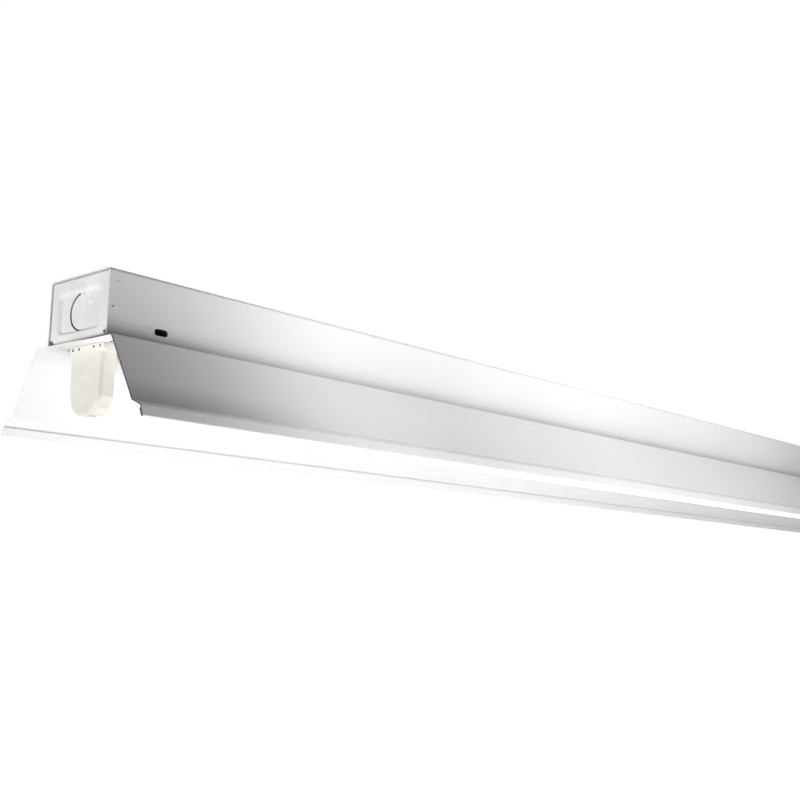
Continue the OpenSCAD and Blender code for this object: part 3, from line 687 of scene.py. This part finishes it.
def add_end_plate(side, plate):
    """Adds an end plate as a sheet of its real thickness, its sheared edges barely rounded."""
    piece = add_piece("end_plate_sheet_" + side, EndPlateSkin(side, plate).build(), "housing",
                      "Plate enamel", "plate_enamel", "end_plate_" + side)
    thick = piece.modifiers.new("Sheet", "SOLIDIFY")
    thick.thickness = plate.sheet
    thick.offset = -1.0
    thick.use_even_offset = True
    edge = piece.modifiers.new("Sheared edges", "BEVEL")
    edge.width = SHEARED_EDGE
    edge.segments = 1
    edge.limit_method = "ANGLE"
    edge.angle_limit = SHEARED_ANGLE
    edge.harden_normals = True


# Lampholder covers: moulded plates with a rounded rim, a shallow dish and four small holes

BOTTOM_STEPS, RIM_STEPS, HOLE_SIDES = 36, 5, 16
COLLAR_SLOPE = 1.0 * MM  # how much higher the collar's underside is at its outer ends
OUTLINE_STEP, FIELD_STEP = mm(1.1, 0.8)  # distance between points on the edge, and inside it
EDGE_MARGIN, HOLE_MARGIN = mm(0.45, 0.4)  # how far those inside stay from the edge and the holes
DISH_DROP, DISH_SLOPE = mm(0.6, 3.5)  # the dish's middle below the tube's axis, and its slope
DIMPLE_ACROSS, DIMPLE_UP = mm(2.0, 14.4)  # the dimple's place from the axis
DIMPLE_RADIUS, DIMPLE_SLOPE, DIMPLE_DEPTH = mm(1.5, 1.4, 0.35)
HOLE_PLACES = mm(2.6, 8.6)  # how far the holes' middles are from the cover's sides
# The share of its width that each step of a hole keeps, and the step's depth
HOLE_STEPS = ((0.95, 0.1 * MM), (0.97, 2.0 * MM))
MITRE_LIMIT = 0.5  # keeps a sharp corner from moving over twice the inset
SLIVER = 0.02 * MM  # slack when a triangle is told from a hole
SAME_POINT = 1e-5  # points closer than this, in millimetres, are one


def inset(outline, distance):
    """The outline moved inwards, each corner along its own bisector; it runs clockwise."""
    moved = []
    count = len(outline)
    for i, (y, z) in enumerate(outline):
        before, after = outline[i - 1], outline[(i + 1) % count]
        first = Vector((z - before[1], before[0] - y)).normalized()
        second = Vector((after[1] - z, y - after[0])).normalized()
        middle = (first + second).normalized()
        reach = distance / max(middle.dot(first), MITRE_LIMIT)
        moved.append((y + middle.x * reach, z + middle.y * reach))
    return moved


def inside(y, z, outline):
    """Whether a point lies within the outline."""
    crossings = 0
    for (y1, z1), (y2, z2) in zip(outline, outline[1:] + outline[:1]):
        if (z1 > z) != (z2 > z) and y < y1 + (z - z1) * (y2 - y1) / (z2 - z1):
            crossings += 1
    return crossings % 2 == 1


class CoverSkin:
    """A cover as one closed skin: back, wall, rounded rim, face and blind holes."""

    def __init__(self, side, holder):
        self.holder = holder
        self.low, self.high, self.front, self.way = end_box("lampholder_cover", side)
        self.half = self.high[1]
        self.axis = self.low[2] + holder.bottom_radius
        self.top = self.high[2] + holder.seat - self.axis
        self.holes = [(s * (self.half - y), self.top - holder.hole_drop)
                      for s in (-1, 1) for y in HOLE_PLACES]
        self.shape = bmesh.new()

    def outline(self):
        """The cover's edge round the tube's axis, in short parts."""
        half, top, waist = self.half, self.top, self.holder.waist
        shoulder, radius = top - self.holder.collar_height, self.holder.bottom_radius
        start = math.atan2(shoulder, waist) - math.acos(radius / math.hypot(waist, shoulder))
        arc = [start - (math.pi + 2.0 * start) * k / BOTTOM_STEPS
               for k in range(BOTTOM_STEPS + 1)]
        corners = [(-waist, shoulder), (-half, shoulder + COLLAR_SLOPE), (-half, top),
                   (half, top), (half, shoulder + COLLAR_SLOPE), (waist, shoulder)]
        corners += [(radius * math.cos(turn), radius * math.sin(turn)) for turn in arc]
        made = []
        for (y, z), (end_y, end_z) in zip(corners, corners[1:] + corners[:1]):
            parts = max(1, round(math.hypot(end_y - y, end_z - z) / OUTLINE_STEP))
            made += [(y + (end_y - y) * k / parts, z + (end_z - z) * k / parts)
                     for k in range(parts)]
        return made

    def relief(self, y, z):
        """How far the face lies behind its highest part."""
        holder = self.holder
        from_dish = math.hypot(y, z + DISH_DROP)
        from_dimple = math.hypot(y - DIMPLE_ACROSS, z - DIMPLE_UP)
        dish = eased((holder.dish_radius - from_dish) / DISH_SLOPE)
        dimple = eased((DIMPLE_RADIUS - from_dimple) / DIMPLE_SLOPE)
        return holder.dish_depth * dish + DIMPLE_DEPTH * dimple

    def near_hole(self, y, z, margin):
        """Whether a point lies in a hole that is wider by the margin."""
        reach = self.holder.hole_radius + margin
        return any(math.hypot(y - a, z - b) < reach for a, b in self.holes)

    def vertex(self, y, z, depth):
        """A vertex at a depth behind the face."""
        return self.shape.verts.new((self.front + self.way * depth, y, z + self.axis))

    def band(self, one, other):
        """Faces between two rings of vertices."""
        count = len(one)
        return [self.shape.faces.new((one[i], one[(i + 1) % count],
                                      other[(i + 1) % count], other[i]))
                for i in range(count)]

    def add_wall(self, outline):
        """Adds the back, the wall and the rounded rim, and gives the rim's last ring."""
        rim = self.holder.rim
        rear = [self.vertex(y, z, self.high[0] - self.low[0]) for y, z in outline]
        back = self.shape.faces.new(rear)
        ring = [self.vertex(y, z, rim) for y, z in outline]
        self.band(rear, ring)
        for k in range(1, RIM_STEPS + 1):
            turn = math.pi / 2 * k / RIM_STEPS
            nearer = [self.vertex(y, z, rim * (1.0 - math.sin(turn)))
                      for y, z in inset(outline, rim * (1.0 - math.cos(turn)))]
            self.band(ring, nearer)
            ring = nearer
        for edge in back.edges:
            edge.smooth = False
        return ring

    def field(self, outline):
        """Points spread over the face, clear of its edge and of the holes."""
        made = []
        drop = self.holder.bottom_radius
        for row in range(int((self.top + drop) / FIELD_STEP)):
            z = row * FIELD_STEP - drop
            for column in range(int(2.0 * self.half / FIELD_STEP)):
                y = column * FIELD_STEP - self.half + (row % 2) * FIELD_STEP / 2
                if inside(y, z, outline) and not self.near_hole(y, z, HOLE_MARGIN):
                    made.append((y, z))
        return made

    def add_face(self, ring, outline):
        """Adds the face with its relief, open at the holes, and gives its vertices."""
        rim, points, edges = self.holder.rim, [], []
        mouth = inset(outline, rim)
        circle = [polar(self.holder.hole_radius, 360.0 * k / HOLE_SIDES)
                  for k in range(HOLE_SIDES)]
        for loop in (mouth, *([(y + a, z + b) for a, b in circle] for y, z in self.holes)):
            start, count = len(points), len(loop)
            points += loop
            edges += [(start + k, start + (k + 1) % count) for k in range(count)]
        points += self.field(inset(outline, rim + EDGE_MARGIN))
        flat, _, triangles, _, _, _ = delaunay_2d_cdt(
            [Vector((y / MM, z / MM)) for y, z in points], edges, [], 0, SAME_POINT)
        placed = list(ring)
        for point in flat[len(ring):]:
            y, z = point.x * MM, point.y * MM
            placed.append(self.vertex(y, z, self.relief(y, z)))
        for corners in triangles:
            y = sum(flat[i].x for i in corners) * MM / 3
            z = sum(flat[i].y for i in corners) * MM / 3
            if inside(y, z, mouth) and not self.near_hole(y, z, -SLIVER):
                self.shape.faces.new([placed[i] for i in corners])
        return placed

    def add_hole(self, ring, middle):
        """Adds a blind hole behind its ring of vertices, its walls and bottom in painted shade."""
        a, b = middle
        for narrowed, depth in HOLE_STEPS:
            nearer = [self.vertex(a + (v.co.y - a) * narrowed,
                                  b + (v.co.z - self.axis - b) * narrowed, depth)
                      for v in ring]
            walls = self.band(ring, nearer)
            ring = nearer
        for face in [*walls, self.shape.faces.new(ring)]:
            face.material_index = 1

    def build(self):
        """The whole cover as a bmesh."""
        outline = self.outline()
        ring = self.add_wall(outline)
        placed = self.add_face(ring, outline)
        start = len(ring)
        for middle in self.holes:
            self.add_hole(placed[start:start + HOLE_SIDES], middle)
            start += HOLE_SIDES
        bmesh.ops.recalc_face_normals(self.shape, faces=self.shape.faces)
        return self.shape


# Values that a user would change


def millimetres(label, about, value, least, most):
    """A length, given in millimetres and kept in metres."""
    return bpy.props.FloatProperty(name=label, description=about, unit="LENGTH", precision=4,
                                   min=least * MM, max=most * MM, default=value * MM)


def in_degrees(label, about, value):
    """An angle, given in degrees and kept in radians."""
    return bpy.props.FloatProperty(name=label, description=about, subtype="ANGLE",
                                   default=math.radians(value))


def watts(label, about, value):
    """A lamp's power."""
    return bpy.props.FloatProperty(name=label, description=about, unit="POWER", min=0.0,
                                   max=500.0, default=value)


def rgb(label, about, value):
    """A colour."""
    return bpy.props.FloatVectorProperty(name=label, description=about, subtype="COLOR",
                                         size=3, min=0.0, max=1.0, default=value)


def fraction(label, about, value):
    """A value from 0 to 1."""
    return bpy.props.FloatProperty(name=label, description=about, subtype="FACTOR", min=0.0,
                                   max=1.0, default=value)


def strength(label, about, value):
    """How bright something shines."""
    return bpy.props.FloatProperty(name=label, description=about, min=0.0, max=5.0,
                                   default=value)


class StripLightLook(bpy.types.PropertyGroup):
    """Colours and surface values."""

    enamel_colour: rgb("Enamel", "Colour of the channel's enamel", (0.80, 0.81, 0.80))
    # Painted light: the end plates' enamel is lighter than the channel's for the brighter light on
    # them
    plate_lit_colour: rgb("End plates", "Colour of the end plates' enamel", (0.89, 0.88, 0.865))
    reflector_colour: rgb("Reflector", "Colour of the reflector's enamel", (0.82, 0.82, 0.81))
    holder_colour: rgb("Lampholders", "Colour of the lampholders' plastic", (0.80, 0.77, 0.71))
    lens_colour: rgb("Lens", "Colour of the tube's opal lens", (0.86, 0.86, 0.85))
    sheared_colour: rgb("Sheared ends", "Colour of the sheet's thinly coated ends",
                        (0.02, 0.03, 0.05))
    enamel_roughness: fraction("Enamel roughness", "How dull the enamel is", 0.42)
    enamel_shine: fraction("Enamel shine", "Strength of the enamel's reflections", 0.15)
    sheared_show: fraction("Sheared ends show", "How much the ends' colour shows", 0.85)
    lens_glow: strength("Lens glow", "Strength of the light that the lens gives off", 1.3)
    # Painted light: the caps' glow lightens the shade on them
    cap_painted_glow: strength("Cap glow", "Strength of the light that seeps through the caps", 0.6)


class StripLightPlate(bpy.types.PropertyGroup):
    """Sizes of the pressed end plates."""

    panel_width: millimetres("Panel width", "Width of the recess at its mouth", 43.6, 36, 48)
    panel_height: millimetres("Panel height", "Height of the recess at its mouth", 25.2, 24, 27)
    panel_middle: millimetres("Panel middle", "Height of the recess's middle", -20.5, -22, -19)
    panel_depth: millimetres("Panel depth", "Depth of the recess", 1.6, 0.5, 2)
    side_slope: millimetres("Side slope", "Width of the recess's sloping sides", 3.6, 1, 6)
    end_slope: millimetres("End slope", "Width of its sloping top and bottom", 2.2, 0.5, 3)
    disc_middle: millimetres("Disc middle", "Height of the sheared disc's middle", -20.7, -22, -19)
    disc_radius: millimetres("Disc radius", "Radius of the opening round the disc", 11.1, 10, 12)
    gap: millimetres("Gap", "Width of the sheared gap", 0.8, 0.2, 1.2)
    sink: millimetres("Sink", "How far the disc sits back", 0.6, 0.1, 1)
    bend: millimetres("Bend", "Outside radius of the bottom bend", 2.2, 1, 3)
    fold: millimetres("Fold", "Outside radius of the side and top bends", 1.1, 0.9, 3)
    seam: millimetres("Seam", "Gap between the plate's edges and the channel", 0.4, 0, 0.8)
    notch: millimetres("Notch", "Size of the notches at the bottom corners", 2.4, 2.2, 4)
    foot: millimetres("Foot", "Depth of the bottom flange", 4.0, 3, 6)
    sheet: millimetres("Sheet", "Thickness of the sheet", 0.8, 0.4, 1.5)
    tie_half: in_degrees("Half a tie", "Half the angle that a tie takes up", 12.0)
    ties: bpy.props.FloatVectorProperty(
        name="Ties", description="Directions of the two ties from the disc's middle",
        subtype="EULER", unit="ROTATION", size=2,
        default=(math.radians(92.0), math.radians(147.0)))


class StripLightHolder(bpy.types.PropertyGroup):
    """Sizes of the lampholders' covers."""

    collar_height: millimetres("Collar height", "Height of the wider top", 4.6, 3, 6)
    waist: millimetres("Waist", "Half width under the collar", 14.4, 14, 15)
    bottom_radius: millimetres("Bottom radius", "Radius of the rounded bottom", 13.5, 13, 14.5)
    rim: millimetres("Rim", "Radius of the rounded rim", 0.6, 0.3, 1.2)
    seat: millimetres("Seat", "How far the cover stands up to meet the deck", 0.28, 0, 0.3)
    hole_radius: millimetres("Hole radius", "Radius of the small holes", 0.85, 0.5, 1.2)
    hole_drop: millimetres("Hole drop", "Depth of the small holes below the top", 1.6, 1.55, 3)
    dish_radius: millimetres("Dish radius", "Radius of the shallow dish", 10.5, 8, 12)
    dish_depth: millimetres("Dish depth", "Depth of the shallow dish", 0.35, 0, 0.6)


class StripLightCamera(bpy.types.PropertyGroup):
    """Where the photographer stood, and the lens."""

    eye: bpy.props.FloatVectorProperty(
        name="Eye", description="Place of the camera in the light's frame",
        subtype="TRANSLATION", unit="LENGTH", size=3, default=(-0.9746, -0.5528, -0.1716))
    yaw: in_degrees("Yaw", "Heading, from +X towards +Y", 41.31)
    pitch: in_degrees("Pitch", "How far the camera looks up", 9.32)
    roll: in_degrees("Roll", "How far the camera leans to its right", 1.05)
    lens: bpy.props.FloatProperty(
        name="Lens", description="Focal length on a sensor 36 mm wide",
        unit="CAMERA", min=10.0, max=300.0, default=52.27)


class StripLightStage(bpy.types.PropertyGroup):
    """The floor and the studio's light."""

    floor_drop: bpy.props.FloatProperty(
        name="Floor drop", description="Distance from the ceiling face down to the floor",
        unit="LENGTH", min=0.2, max=5.0, default=1.2)
    floor_reach: bpy.props.FloatProperty(
        name="Floor reach", description="Half the width of the floor",
        unit="LENGTH", min=1.0, max=40.0, default=12.0)
    ambient: strength("Ambient", "Strength of the even light from all round", 0.05)
    low_power: watts("Low lamp", "Power of the wide lamp below", 5.4)
    far_low_power: watts("Far low lamp", "Power of the lamp below the middle", 2.4)
    front_power: watts("Front lamp", "Power of the lamp in front of the left end", 2.6)
    near_power: watts("Near lamp", "Power of the long lamp close to the front", 0.18)
    edge_power: watts("Edge lamp", "Power of the small lamp close to the front", 0.1)
    side_power: watts("Side lamp", "Power of the lamp level with the middle", 1.25)
    end_power: watts("End lamp", "Power of the lamp behind the left end", 1.3)
    ahead_power: watts("Ahead lamp", "Power of the lamp straight off the left end", 2.6)
    rear_power: watts("Rear lamp", "Power of the lamp above and behind", 20.0)


class StripLightStep:
    """What every operator shares."""

    bl_options = {"REGISTER", "UNDO"}


class STRIPLIGHT_OT_channel(StripLightStep, bpy.types.Operator):
    """Enamels the channel and its end plates"""

    bl_idname = "striplight.channel"
    bl_label = "Channel and End Plates"

    def execute(self, context):
        dress("channel_housing", "Channel enamel")
        for side in SIDES:
            add_end_plate(side, context.scene.strip_light_plate)
        return {"FINISHED"}


class STRIPLIGHT_OT_reflector(StripLightStep, bpy.types.Operator):
    """Enamels the one-piece reflector"""

    bl_idname = "striplight.reflector"
    bl_label = "Reflector"

    def execute(self, context):
        soften(dress("reflector", "Reflector enamel"), 0.28)
        return {"FINISHED"}


class STRIPLIGHT_OT_lampholders(StripLightStep, bpy.types.Operator):
    """Finishes both lampholders with their rotors, contacts and brackets"""

    bl_idname = "striplight.lampholders"
    bl_label = "Lampholders"

    def execute(self, context):
        for side in SIDES:
            cover = add_piece("lampholder_shell_" + side,
                              CoverSkin(side, context.scene.strip_light_holder).build(),
                              "housing", "Cover plastic", "cover_plastic",
                              "lampholder_cover_" + side)
            cover.data.materials.append(finish("Pit shade"))
        dress_pair("lampholder_body", "Holder plastic", 0.4, 3)
        dress_pair("lampholder_rotor", "Rotor plastic", 0.2)
        dress_pair("lampholder_contacts", "Spring bronze")
        dress_pair("lampholder_bracket", "Zinc plate")
        return {"FINISHED"}


class STRIPLIGHT_OT_tube(StripLightStep, bpy.types.Operator):
    """Finishes the LED tube, outside and in"""

    bl_idname = "striplight.tube"
    bl_label = "LED Tube"

    def execute(self, context):
        dress("tube_lens", "Opal lens")
        dress("tube_spine", "Drawn aluminium")
        dress_pair("tube_end_cap", "Cap plastic", 0.5, 3)
        dress_pair("tube_pins", "Pin brass", 0.15)
        dress("tube_cap_screws", "Zinc plate")
        dress("tube_led_board", "Board mask")
        dress("tube_led_chips", "Phosphor")
        dress("tube_driver", "Driver board")
        return {"FINISHED"}


class STRIPLIGHT_OT_latches(StripLightStep, bpy.types.Operator):
    """Finishes the quarter-turn latches, their retainers and the bridges they lock on"""

    bl_idname = "striplight.latches"
    bl_label = "Latches"

    def execute(self, context):
        dress_pair("latch", "Latch plastic", 0.5, 3)
        dress_pair("latch_retainer", "Zinc plate", 0.12)
        dress_pair("latch_bridge", "Zinc plate", 0.12)
        return {"FINISHED"}


class STRIPLIGHT_OT_wiring(StripLightStep, bpy.types.Operator):
    """Finishes the terminal block, leads, clips and ground connection"""

    bl_idname = "striplight.wiring"
    bl_label = "Wiring"

    def execute(self, context):
        dress("terminal_block", "Block nylon")
        dress("wire_clips", "Clip nylon")
        dress("line_lead", "Black sleeve")
        dress("neutral_lead", "White sleeve")
        dress("ground_lead", "Green sleeve")
        dress("ground_ring", "Pin brass")
        dress("ground_screw", "Green zinc")
        return {"FINISHED"}


# Lamps: the name, where each stands and what it shines on, its width and height, and which
# value gives its power
LAMPS = (
    ("Low lamp", (-0.35, -0.45, -0.9), (-0.3, 0.0, -0.05), (1.0, 0.5), "low_power"),
    ("Far low lamp", (-0.15, -0.5, -0.9), (-0.15, 0.0, -0.05), (0.8, 0.5), "far_low_power"),
    ("Front lamp", (-0.5, -0.6, -0.8), (-0.4, 0.0, -0.05), (0.8, 0.6), "front_power"),
    ("Near lamp", (-0.22, -0.2, 0.0), (-0.22, 0.0, -0.04), (0.3, 0.04), "near_power"),
    ("Edge lamp", (-0.46, -0.16, 0.0), (-0.46, 0.0, -0.04), (0.1, 0.04), "edge_power"),
    ("Side lamp", (0.06, -0.42, 0.08), (0.04, 0.0, -0.04), (0.3, 0.2), "side_power"),
    ("End lamp", (-1.1, 0.25, -0.25), (-0.62, 0.0, -0.05), (0.5, 0.4), "end_power"),
    ("Ahead lamp", (-1.2, 0.0, -0.2), (-0.62, 0.0, -0.05), (0.4, 0.4), "ahead_power"),
    ("Rear lamp", (1.3, 1.0, 0.9), (0.2, 0.0, -0.03), (1.2, 0.8), "rear_power"),
)
SENSOR_WIDTH = 36.0
NEAREST, FARTHEST = 0.01, 100.0
FLOOR_GLOW = 0.92


def turned(across, up, away, place):
    """The matrix of a camera or a lamp with these axes, at place."""
    made = Matrix((across, up, away)).transposed().to_4x4()
    made.translation = Vector(place)
    return made


def add_lamp(name, place, target, size, power):
    """Adds an area lamp at place that shines on target and isn't seen itself."""
    data = bpy.data.lights.new(name, "AREA")
    data.shape = "RECTANGLE"
    data.size, data.size_y = size
    data.energy = power
    away = (Vector(place) - Vector(target)).normalized()
    across = Vector((0.0, 0.0, 1.0)).cross(away).normalized()
    lamp = bpy.data.objects.new(name, data)
    lamp.matrix_world = turned(across, away.cross(across), away, place)
    lamp.visible_camera = False
    bpy.context.scene.collection.objects.link(lamp)


def floor_paint():
    """Pale paint that is nearly white to the camera and clear from below."""
    paint = bpy.data.materials.new("Floor paint")
    paint.use_nodes = True
    tree = paint.node_tree
    shader = tree.nodes["Principled BSDF"]
    shader.inputs["Base Color"].default_value = (0.75, 0.75, 0.75, 1.0)
    shader.inputs["Roughness"].default_value = 0.9
    shader.inputs["Emission Color"].default_value = WHITE
    path = tree.nodes.new("ShaderNodeLightPath")
    seen = math_node(tree, "MULTIPLY", path.outputs["Is Camera Ray"], FLOOR_GLOW)
    tree.links.new(seen, shader.inputs["Emission Strength"])
    clear = tree.nodes.new("ShaderNodeBsdfTransparent")
    facing = tree.nodes.new("ShaderNodeNewGeometry")
    mixed = tree.nodes.new("ShaderNodeMixShader")
    tree.links.new(facing.outputs["Backfacing"], mixed.inputs[0])
    tree.links.new(shader.outputs["BSDF"], mixed.inputs[1])
    tree.links.new(clear.outputs["BSDF"], mixed.inputs[2])
    tree.links.new(mixed.outputs["Shader"], tree.nodes["Material Output"].inputs["Surface"])
    return paint


class STRIPLIGHT_OT_stage(StripLightStep, bpy.types.Operator):
    """Sets the camera, the lamps, the white surroundings and the pale floor"""

    bl_idname = "striplight.stage"
    bl_label = "Stage"

    def camera(self, scene):
        """The photographer's camera."""
        view = scene.strip_light_camera
        ahead = Vector((math.cos(view.pitch) * math.cos(view.yaw),
                        math.cos(view.pitch) * math.sin(view.yaw), math.sin(view.pitch)))
        level = Vector((math.sin(view.yaw), -math.cos(view.yaw), 0.0))
        upright = level.cross(ahead)
        right = math.cos(view.roll) * level + math.sin(view.roll) * upright
        data = bpy.data.cameras.new("Camera")
        data.lens, data.sensor_width = view.lens, SENSOR_WIDTH
        data.clip_start, data.clip_end = NEAREST, FARTHEST
        eye = bpy.data.objects.new("Camera", data)
        eye.matrix_world = turned(right, right.cross(ahead), -ahead, view.eye)
        scene.collection.objects.link(eye)
        scene.camera = eye

    def surroundings(self, scene):
        """White to the camera and in reflections, and an even light on the object."""
        world = bpy.data.worlds.new("Surroundings")
        world.use_nodes = True
        tree = world.node_tree
        path = tree.nodes.new("ShaderNodeLightPath")
        seen = math_node(tree, "MAXIMUM", path.outputs["Is Camera Ray"],
                         math_node(tree, "MAXIMUM", path.outputs["Is Glossy Ray"],
                                   path.outputs["Is Transmission Ray"]))
        ambient = scene.strip_light_stage.ambient
        back = tree.nodes["Background"]
        back.inputs["Color"].default_value = WHITE
        tree.links.new(math_node(tree, "MULTIPLY_ADD", seen, 1.0 - ambient, ambient),
                       back.inputs["Strength"])
        scene.world = world

    def floor(self, scene):
        """A wide square floor under the light."""
        stage = scene.strip_light_stage
        reach, level = stage.floor_reach, -stage.floor_drop
        shape = bmesh.new()
        shape.faces.new([shape.verts.new((x * reach, y * reach, level))
                         for x, y in ((-1, -1), (1, -1), (1, 1), (-1, 1))])
        mesh = bpy.data.meshes.new("Floor")
        shape.to_mesh(mesh)
        shape.free()
        mesh.materials.append(floor_paint())
        floor = bpy.data.objects.new("Floor", mesh)
        scene.collection.objects.link(floor)

    def execute(self, context):
        scene = context.scene
        self.camera(scene)
        self.surroundings(scene)
        self.floor(scene)
        for name, place, target, size, power in LAMPS:
            add_lamp(name, place, target, size, getattr(scene.strip_light_stage, power))
        scene.view_settings.view_transform = "Standard"
        return {"FINISHED"}


STEPS = (STRIPLIGHT_OT_channel, STRIPLIGHT_OT_reflector, STRIPLIGHT_OT_lampholders,
         STRIPLIGHT_OT_tube, STRIPLIGHT_OT_latches, STRIPLIGHT_OT_wiring, STRIPLIGHT_OT_stage)


class STRIPLIGHT_PT_panel(bpy.types.Panel):
    """Lists the sizes, the colours and a button for each step"""

    bl_idname = "STRIPLIGHT_PT_panel"
    bl_label = "Strip Light"
    bl_space_type = "VIEW_3D"
    bl_region_type = "UI"
    bl_category = "Strip Light"

    def draw(self, context):
        scene = context.scene
        for group in (getattr(scene, name) for name in GROUPS):
            box = self.layout.box()
            for key in group.bl_rna.properties.keys():
                if key not in ("rna_type", "name"):
                    box.prop(group, key)
        for step in STEPS:
            self.layout.operator(step.bl_idname)


GROUPS = {"strip_light_look": StripLightLook, "strip_light_plate": StripLightPlate,
          "strip_light_holder": StripLightHolder,
          "strip_light_camera": StripLightCamera, "strip_light_stage": StripLightStage}


def register():
    """Registers the classes and gives the scene their values."""
    for made in (*GROUPS.values(), *STEPS, STRIPLIGHT_PT_panel):
        bpy.utils.register_class(made)
    for name, made in GROUPS.items():
        setattr(bpy.types.Scene, name, bpy.props.PointerProperty(type=made))


def unregister():
    """Takes the values and the classes away again."""
    for name in GROUPS:
        delattr(bpy.types.Scene, name)
    for made in (STRIPLIGHT_PT_panel, *reversed(STEPS), *reversed(list(GROUPS.values()))):
        bpy.utils.unregister_class(made)


def main():
    """Finishes the light step by step."""
    register()
    for step in STEPS:
        getattr(bpy.ops.striplight, step.bl_idname.split(".")[1])()


if __name__ == "__main__":
    main()
